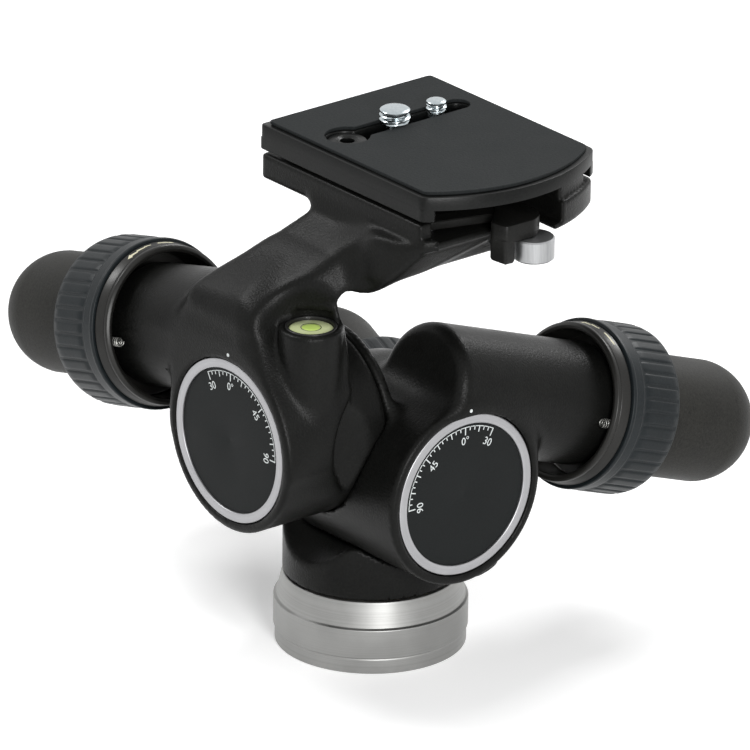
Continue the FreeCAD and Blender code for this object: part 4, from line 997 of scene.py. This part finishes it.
def collar_grip(name):
    """Rubber sleeve with a thin front edge and its lands."""
    step = COLLAR_END - LAND_LEN - 0.9
    outline = [(COLLAR_CORE_R + 0.02, GRIP_FRONT), (GRIP_BASE_R + 0.35, GRIP_FRONT),
               (GRIP_BASE_R + 0.45, GRIP_FRONT + 1.0), (GRIP_BASE_R + 0.3, GRIP_FRONT + 1.5),
               (GRIP_BASE_R + 0.3, step - 0.6), (GRIP_BASE_R, step), (GRIP_BASE_R, COLLAR_END),
               (COLLAR_CORE_R + 0.02, COLLAR_END)]
    sleeve = mend(mesh_piece(name, *turned(rounded(outline, 0.5, 3), segments=240), collar_rubber), 50)
    return merged(name, [sleeve, round_copies(grip_land(), 0, 360 / LANDS, LANDS, 0.25, 3)])


def knob(name):
    """Round bar with a broken rear edge and a domed end."""
    back = SLEEVE_END + 2
    ball_r = (KNOB_R ** 2 + KNOB_DOME ** 2) / (2 * KNOB_DOME)
    low = math.asin(1 - KNOB_DOME / ball_r)
    dome = [(ball_r * math.cos(t), KNOB_TIP - ball_r + ball_r * math.sin(t))
            for t in np.linspace(low, math.pi / 2 - 0.01, 24)]
    edge = rounded([(KNOB_HUB_R + 0.02, back), (KNOB_R, back), (KNOB_R, back + 6), (KNOB_R - 1, back + 7)],
                   0.9)
    rear = [tuple(p) for p in edge if p[0] > KNOB_R - 0.95 or p[1] < back + 1][:9]
    outline = np.array(rear + dome + [(0.02, KNOB_HUB_END), (KNOB_HUB_R + 0.02, KNOB_HUB_END)])
    return mend(mesh_piece(name, *turned(outline), knob_rubber), 50)


def coil(name, centre, radius, wire, start, end, turns, material):
    """Helical spring about an axis parallel to Z."""
    t = np.linspace(0, 1, int(turns * 36) + 1)
    angle = 2 * math.pi * turns * t
    outward = np.stack([np.cos(angle), np.sin(angle), 0 * t], -1)
    path = np.array([*centre, 0]) + outward * radius + np.outer(start + (end - start) * t, (0, 0, 1))
    around = np.linspace(0, 2 * math.pi, 10, endpoint=False)
    rings = path[:, None] + wire * (np.cos(around)[:, None] * outward[:, None]
                                    + np.sin(around)[:, None] * np.array([0, 0, 1.0]))
    a = np.arange(len(t) - 1)[:, None] * 10 + np.arange(10)
    b = np.arange(len(t) - 1)[:, None] * 10 + (np.arange(10) + 1) % 10
    faces = [*np.stack([a, b, b + 10, a + 10], -1).reshape(-1, 4), range(10),
             range(len(t) * 10 - 10, len(t) * 10)]
    return mend(mesh_piece(name, rings.reshape(-1, 3), faces, material), 60)


def release_springs(name, at):
    """Coil round the sleeve, and the small coil that shows between tube and nose ring."""
    ring = coil(name, (0, 0), 13.4, 0.45, 54.7, 56.3, 2.6, spring_wire)
    angle = math.radians(at)
    small = coil(name, (20.75 * math.cos(angle), 20.75 * math.sin(angle)), 1.25, SPRING_WIRE_R, 44.4, 50.2,
                 6.0,
                 spring_wire)
    return merged(name, [ring, small])


def printed_marks(name, first, last, line_first, line_last):
    """Arrow with a stepped shaft, and a short line, printed on the cone; angles in degrees."""
    head = [(first, 0.0, 0.02), (first + 4, -0.55, 0.95), (first + 4.2, -0.1, 0.6), (first + 10, -0.15, 0.35),
            (first + 10.5, 0.15, 0.75), (first + 17, 0.1, 0.5), (first + 17.5, 0.3, 0.8), (last, 0.3, 0.55)]
    line = [(line_first, 0.25, 0.65), (line_first + 2, 0.2, 0.7), (line_last - 2, 0.2, 0.7),
            (line_last, 0.3, 0.6)]
    points, faces = [], []
    for rows in (head, line):
        grown_rows = [np.array(a) + (np.array(b) - np.array(a)) * t for a, b in zip(rows, rows[1:])
                      for t in (0, 0.5)] + [np.array(rows[-1])]
        for angle, low, high in grown_rows:
            for across in (low, high):
                station = 49.1 + across
                radius = BAND[1] + (station - BAND[0]) / (BAND[2] - BAND[0]) * (BAND[3] - BAND[1]) + 0.03
                turn = math.radians(angle)
                points.append((radius * math.cos(turn), radius * math.sin(turn), station))
            if angle > rows[0][0]:
                n = len(points)
                faces.append((n - 4, n - 2, n - 1, n - 3))
    return mesh_piece(name, points, faces, mark_print)


for drive, body_name in (("pan", "pan"), ("lower", "middle"), ("upper", "top")):
    settle(put_on_drive(collar_shell(drive + "_collar_shell"), drive), drive + "_collar", "collar_metal",
           drive + "_release_collar")
    settle(put_on_drive(collar_grip(drive + "_collar_rubber"), drive), drive + "_collar", "collar_rubber",
           drive + "_collar_grip")
    settle(put_on_drive(printed_marks(drive + "_collar_marks", *MARKS[drive]), drive), drive + "_collar",
           "collar_metal")
    knob_foot = np.array(joints[drive + "_knob_spin"]["pos_m"]) / MM
    settle(put_on_drive(knob(drive + "_knob_rubber"), drive, knob_foot), drive + "_knob", "knob_rubber",
           drive + "_knob_grip")
    settle(put_on_drive(release_springs(drive + "_springs", SPRING_AT[drive]), drive), body_name, "steel",
           drive + "_release_spring")
    for piece, finish in (("eccentric_sleeve", steel_machined), ("bearings", steel_machined),
                          ("worm", steel_machined),
                          ("knob_hub", hub_plastic), ("collar_screws", steel_black)):
        finish_node(drive + "_" + piece, finish)


# --- Shaft screws, bushes and wheels ------------------------------------------------------
# Mostly hidden: ground steel shafts in bronze bushes, hobbed bronze wheels, and black socket
# screws that hold each shaft's rear end.

HEX_R = 2.5

steel_ground = surface("steel_ground", (0.30, 0.31, 0.32, 1), (0.38, 0.39, 0.40, 1), 0.32, metal=1.0,
                       grain=900.0,
                       depth=0.002)


def socket_screw(name, foot, outward, radius, thick):
    """Cap screw head with a hexagonal socket, its axis along outward."""
    out = np.array(outward, float)
    side = np.array([0, 0, 1.0])
    outline = rounded([(0.02, 0), (radius, 0), (radius, thick), (HEX_R, thick), (HEX_R, thick * 0.3),
                       (0.02, thick * 0.3)], 0.35, 3)
    points, faces = turned(outline, foot, out, side, 72)
    count = len(outline)
    inner = np.tile((outline[:, 0] <= HEX_R + 0.2) & (outline[:, 1] > thick * 0.2), 72)
    turn = np.repeat(np.linspace(0, 360, 72, endpoint=False), count)
    stretch = np.where(inner, 1 / np.cos(np.radians((turn % 60) - 30)), 1.0)
    axis_points = np.array(foot) + np.outer((points - np.array(foot)) @ out, out)
    points = axis_points + (points - axis_points) * stretch[:, None]
    return mend(mesh_piece(name, points, faces, steel_black), 40)


for name, body_name, axis, out in (("lower", "pan", 0, -1), ("upper", "middle", 1, 1)):
    low, high = (np.array(corner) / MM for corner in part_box(name + "_shaft_screw"))
    foot = (low + high) / 2
    foot[axis] = high[axis] if out < 0 else low[axis]
    outward = np.zeros(3)
    outward[axis] = out
    screw = socket_screw(name + "_screw_head", foot, outward, (high[2] - low[2]) / 2, high[axis] - low[axis])
    settle(screw, body_name, "steel", name + "_shaft_screw")
    finish_node(name + "_tilt_shaft", steel_ground)
    finish_node(name + "_bushes", bronze_cut)
    finish_node(name + "_worm_wheel", bronze_cut)


# --- Spirit level -------------------------------------------------------------------------
# Round level pressed into its boss: black moulded cup, yellow-green vial with a printed
# circle, and the bubble resting in it.

VIAL_R = 6.95
CIRCLE_R = 3.05

cup_plastic = surface("moulded_black", (0.010, 0.010, 0.010, 1), (0.020, 0.020, 0.019, 1), 0.35, grain=1600.0,
                      depth=0.01, specular=0.4)
vial_fluid = surface("vial_fluid", (0.66, 0.74, 0.36, 1), (0.76, 0.82, 0.50, 1), 0.12, grain=300.0,
                     depth=0.002,
                     specular=0.6, uneven=0.02)
vial_bubble = surface("vial_bubble", (0.55, 0.76, 0.15, 1), (0.66, 0.84, 0.24, 1), 0.08, grain=300.0,
                      depth=0.002,
                      specular=0.6, uneven=0.02)

spot = (LEVEL_AT[0], LEVEL_AT[1], 0)
vial_low, vial_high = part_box("level_vial")[0][2] / MM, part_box("level_vial")[1][2] / MM
cup_low, cup_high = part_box("level_cup")[0][2] / MM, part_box("level_cup")[1][2] / MM
cup_line = rounded([(0.02, cup_low), (7.88, cup_low), (7.88, cup_high), (VIAL_R + 0.05, cup_high),
                    (VIAL_R + 0.05, cup_low + 1), (0.02, cup_low + 1)], 0.25)
settle(mend(mesh_piece("level_cup_moulded", *turned(cup_line, spot), cup_plastic), 50), "top",
       "moulded_black",
       "level_cup")
vial_line = [(0.02, vial_low), (VIAL_R, vial_low), (VIAL_R, vial_high - 0.6),
             (VIAL_R - 0.25, vial_high - 0.3)]
vial_line += [(r, vial_high + 0.15 - 0.4 * (r / VIAL_R) ** 2) for r in (6.4, 5.2, 4.0, 2.8, 1.5, 0.02)]
settle(mend(mesh_piece("level_fluid_vial", *turned(np.array(vial_line), spot), vial_fluid), 50), "top",
       "level_fluid", "level_vial")
dome = vial_high + 0.15 - 0.4 * (CIRCLE_R / VIAL_R) ** 2
circle_line = [(CIRCLE_R - 0.11, dome), (CIRCLE_R + 0.11, dome), (CIRCLE_R + 0.1, dome + 0.04),
               (CIRCLE_R - 0.1, dome + 0.04)]
settle(mend(mesh_piece("level_circle", *turned(np.array(circle_line), spot), cup_plastic)), "top",
       "moulded_black")
bubble_line = [(0.02, dome - 0.1), (CIRCLE_R - 0.2, dome - 0.02), (CIRCLE_R - 0.35, dome + 0.1),
               (1.6, dome + 0.17),
               (0.02, dome + 0.2)]
settle(mend(mesh_piece("level_bubble", *turned(np.array(bubble_line), spot), vial_bubble), 80), "top",
       "level_fluid")


# --- Lock lever and safety catch ----------------------------------------------------------
# The lever's block is die-cast and painted: curved front, concave side where it runs back to
# its hinge pin, and a leg that the thumb pulls. The satin catch beside it stops it opening.

LEVER_BLOCK_Z = (147.1, 152.8)
LEVER_LEG_Z = 140.2
CATCH_R = 6.3
CATCH_AT = (57.5, 14.7)
CATCH_FLAT_X = 53.5

lever_black = surface("lever_black", (0.004, 0.004, 0.0038, 1), (0.013, 0.013, 0.012, 1), 0.34, grain=1500.0,
                      depth=0.06, specular=0.16)
catch_satin = surface("catch_satin", (0.30, 0.305, 0.31, 1), (0.42, 0.425, 0.43, 1), 0.38, metal=1.0,
                      grain=1400.0,
                      depth=0.012, stretch=(1, 1, 0.08))


def soft_outline(corners, radius, spacing=0.5):
    """Closed outline sampled evenly, its corners rounded by a moving average."""
    corners = np.array(corners, float)
    legs = np.linalg.norm(np.roll(corners, -1, 0) - corners, axis=1)
    at = np.concatenate([[0], np.cumsum(legs)])
    where = np.linspace(0, at[-1], max(int(at[-1] / spacing), 16), endpoint=False)
    closed = np.vstack([corners, corners[:1]])
    points = np.stack([np.interp(where, at, closed[:, i]) for i in (0, 1)], 1)
    reach = max(int(radius / spacing), 1)
    weights = 1 - np.abs(np.arange(-reach, reach + 1)) / (reach + 1)
    return sum(np.roll(points, i, 0) * w for i, w in zip(range(-reach, reach + 1), weights)) / weights.sum()


def drawn_in(outline, by):
    """Outline moved to its left: inwards for an outer loop, outwards for a hole run the other way."""
    ahead = np.roll(outline, -1, 0) - np.roll(outline, 1, 0)
    ahead /= np.linalg.norm(ahead, axis=1)[:, None]
    return outline + by * np.stack([-ahead[:, 1], ahead[:, 0]], 1)


def slab_piece(name, loops, levels, material):
    """Slab from an outer loop and holes; levels give height and draw-in, from the bottom up."""
    points, faces = [], []
    sizes = [len(loop) for loop in loops]
    total = sum(sizes)
    for z, by in levels:
        for loop in loops:
            points.extend((x, y, z) for x, y in drawn_in(loop, by))
    for level in range(len(levels) - 1):
        first = level * total
        for size in sizes:
            for i in range(size):
                a, b = first + i, first + (i + 1) % size
                faces.append((a, b, b + total, a + total))
            first += size
    for level in (0, len(levels) - 1):
        flat = [[Vector((x, y, 0)) for x, y in drawn_in(loop, levels[level][1])] for loop in loops]
        for corners in tessellate_polygon(flat):
            faces.append([level * total + i for i in corners])
    return mend(mesh_piece(name, points, faces, material), 30)


block_plan = soft_outline([(52.2, 2.0), (58.3, 3.2), (58.5, 14.2), (56.6, 17.7), (53.6, 19.7), (43, 19.7),
                           (40.5, 13.2), (45.6, 9.3), (49.4, 5.1)], 1.6, 0.4)
block_top, block_low = LEVER_BLOCK_Z[1], LEVER_BLOCK_Z[0]
block_piece = slab_piece("lever_block", [block_plan], [(block_low, 0.3), (block_low + 0.3, 0),
                                                       (block_top - 0.5, 0),
                                                       (block_top - 0.15, 0.15), (block_top,
                                                                                  0.5)], lever_black)
leg_plan = soft_outline([(51.9, 2.1), (58.2, 3.0), (58.4, 6.8), (52.0, 7.2), (50.6, 4.6)], 0.9, 0.3)
leg_piece = slab_piece("lever_leg", [leg_plan], [(LEVER_LEG_Z, 1.0), (LEVER_LEG_Z + 0.4, 0.4),
                                                 (LEVER_LEG_Z + 1.1, 0),
                                                 (block_low + 1, 0)], lever_black)
arm_plan = soft_outline([(33.0, -11.2), (38.5, -11.2), (44.5, 8.0), (47.0, 14.0), (46.0, 20.5), (41.0, 20.5)],
                        1.5)
lever_arm = slab_piece("lever_arm", [arm_plan], [(148.7, 0.3), (149.0, 0), (151.2, 0), (151.5, 0.3)],
                       lever_black)
settle(merged("lock_lever_cast", [block_piece, leg_piece, lever_arm]), "lever", "moulded_black", "lock_lever")
finish_node("lever_pin", steel_machined)

(catch_x0, _, catch_low), (_, _, catch_top) = (np.array(corner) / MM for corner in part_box("safety_catch"))
bow = [(CATCH_AT[0] + CATCH_R * math.cos(t), CATCH_AT[1] + CATCH_R * math.sin(t))
       for t in np.linspace(math.radians(-127), math.radians(127), 60)]
button = slab_piece("catch_button", [soft_outline(bow, 0.6, 0.3)],
                    [(catch_low, 0.45), (catch_low + 0.45, 0), (catch_top - 0.4, 0),
                     (catch_top, 0.4)], catch_satin)
stem_plan = [(catch_x0, CATCH_AT[1] - 3.6), (CATCH_FLAT_X + 1, CATCH_AT[1] - 3.6),
             (CATCH_FLAT_X + 1, CATCH_AT[1] + 3.6), (catch_x0, CATCH_AT[1] + 3.6)]
stem = slab_piece("catch_stem", [soft_outline(stem_plan, 0.5, 0.4)],
                  [(catch_low + 0.05, 0.2), (catch_low + 0.25, 0), (catch_top - 0.25, 0),
                   (catch_top - 0.05, 0.2)],
                  catch_satin)
settle(merged("safety_catch_satin", [button, stem]), "catch", "satin_aluminium", "safety_catch")


# --- Quick-release plate ------------------------------------------------------------------
# Cast plate with two side rails, one end bowed, a slot for the camera screws with a round
# pocket at its end, and a thin rubber pad glued on top. Both screws are zinc plated.

PLATE_X = (-31.0, 46.5)
PLATE_Y = (-20.0, 47.0)
PLATE_BULGE = 12.0
RAIL_FOOT_Z = 156.0
RAIL_WIDTH = 3.3
PLATE_TOP_Z = 164.1
PAD_TOP_Z = 165.3
PAD_INSET = 1.8
SLOT = (-5.0, -7.0, 36.0, 3.5, 6.5)      # x, y of pocket, y of far end, half width, pocket radius
SCREW_PITCH = {"large": 25.4 / 16, "small": 25.4 / 20}
SCREW_NECK_R = 2.6

plate_black = surface("plate_black", (0.003, 0.0033, 0.0032, 1), (0.010, 0.0105, 0.010, 1), 0.34,
                      grain=1500.0,
                      depth=0.05, specular=0.15)
pad_rubber = surface("pad_rubber", (0.010, 0.0115, 0.012, 1), (0.020, 0.0225, 0.023, 1), 0.72, grain=1300.0,
                     depth=0.07, specular=0.12)
zinc = surface("zinc_plate", (0.42, 0.47, 0.49, 1), (0.58, 0.63, 0.65, 1), 0.22, metal=1.0, grain=900.0,
               depth=0.006)


def bowed_plan(inset, radius):
    """Plan of the plate, or of the pad on it, drawn in by inset."""
    half = (PLATE_Y[1] - PLATE_Y[0]) / 2
    bow_r = (half ** 2 + PLATE_BULGE ** 2) / (2 * PLATE_BULGE)
    middle_x, middle_y = PLATE_X[1] + PLATE_BULGE - bow_r, (PLATE_Y[0] + PLATE_Y[1]) / 2
    limit = math.asin((half - inset) / (bow_r - inset))
    bow = [(middle_x + (bow_r - inset) * math.cos(t), middle_y + (bow_r - inset) * math.sin(t))
           for t in np.linspace(-limit, limit, 60)]
    return soft_outline(bow + [(PLATE_X[0] + inset, PLATE_Y[1] - inset),
                               (PLATE_X[0] + inset, PLATE_Y[0] + inset)],
                        radius)


def slot_plan(grow):
    """Slot with its round pocket, run the way round of a hole."""
    x, y0, y1, half, pocket_r = SLOT
    half, pocket_r = half + grow, pocket_r + grow
    far = [(x + half * math.cos(t), y1 + half * math.sin(t)) for t in np.linspace(0, math.pi, 24)]
    open_at = math.asin(half / pocket_r)
    pocket = [(x + pocket_r * math.cos(t), y0 + pocket_r * math.sin(t))
              for t in np.linspace(math.pi / 2 + open_at, 2.5 * math.pi - open_at, 48)]
    return soft_outline(far + pocket, 0.5)[::-1]


under = PLATE_TOP_Z - 4.2
plate_piece = slab_piece("plate_slab", [bowed_plan(0, 2.2), slot_plan(0)],
                         [(under, 0), (PLATE_TOP_Z - 0.4, 0), (PLATE_TOP_Z - 0.1, 0.15),
                          (PLATE_TOP_Z, 0.45)], plate_black)
parts = [plate_piece]
bow_r = (33.5 ** 2 + PLATE_BULGE ** 2) / (2 * PLATE_BULGE)
for low, high in ((PLATE_Y[0], PLATE_Y[0] + RAIL_WIDTH), (PLATE_Y[1] - RAIL_WIDTH, PLATE_Y[1])):
    ends = [(PLATE_X[1] + PLATE_BULGE - bow_r + math.sqrt(bow_r ** 2 - (y - 13.5) ** 2), y) for y in (low,
                                                                                                      high)]
    rail_plan = soft_outline([(PLATE_X[0], low), *ends, (PLATE_X[0], high)], 1.0)
    parts.append(slab_piece("rail", [rail_plan], [(RAIL_FOOT_Z, 0.35), (RAIL_FOOT_Z + 0.35, 0),
                                                  (under + 0.05, 0)],
                            plate_black))
eyelet = rounded([(2.2, PLATE_TOP_Z - 1.6), (6.0, PLATE_TOP_Z - 1.6), (6.0, PLATE_TOP_Z - 0.5),
                  (3.4, PLATE_TOP_Z - 0.1), (2.2, PLATE_TOP_Z - 0.6)], 0.3)
parts.append(mend(mesh_piece("eyelet", *turned(eyelet, (SLOT[0], SLOT[1], 0)), plate_black), 50))
settle(merged("plate_body", parts), "plate", "plate_black", "plate")
pad_low = PLATE_TOP_Z + 0.02
pad = slab_piece("plate_pad_rubber", [bowed_plan(PAD_INSET, 2.0), slot_plan(0.5)],
                 [(pad_low, 0.35), (pad_low + 0.3, 0), (PAD_TOP_Z - 0.15, 0), (PAD_TOP_Z, 0.2)], pad_rubber)
settle(pad, "plate", "pad_rubber", "plate_pad")


def camera_screw(name):
    """Slotted head, neck and a few turns of thread under a chamfered end."""
    (x0, y0, foot), (x1, y1, top) = (np.array(corner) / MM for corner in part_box("camera_screw_" + name))
    pitch = SCREW_PITCH[name]
    radius = {"large": 4.7625, "small": 3.175}[name]
    core = radius - 0.55 * pitch
    rows = np.arange(PAD_TOP_Z - 0.3, top - 1.1, pitch / 8)
    head_r = (x1 - x0) / 2
    outline = [(0.02, foot), (head_r - 0.3, foot), (head_r, foot + 0.3), (head_r, foot + 2.7),
               (head_r - 0.3, foot + 3),
               (SCREW_NECK_R, foot + 3), (SCREW_NECK_R, PAD_TOP_Z - 0.8)]
    first = len(outline)
    outline += [(core, z) for z in rows]
    outline += [(radius - 0.12, top - 1.0), (radius - 0.15, top - 0.5), (radius - 0.6, top - 0.12),
                (radius - 1.5, top), (0.02, top)]
    points, faces = threaded(np.array(outline), 72, first, first + len(rows) - 1, radius - core, pitch,
                             ((x0 + x1) / 2, (y0 + y1) / 2))
    return mend(mesh_piece("camera_screw_" + name + "_zinc", points, faces, zinc), 40)


for name in ("large", "small"):
    settle(camera_screw(name), "screw_" + name, "zinc_steel", "camera_screw_" + name)
    finish_node("camera_washer_" + name, zinc)
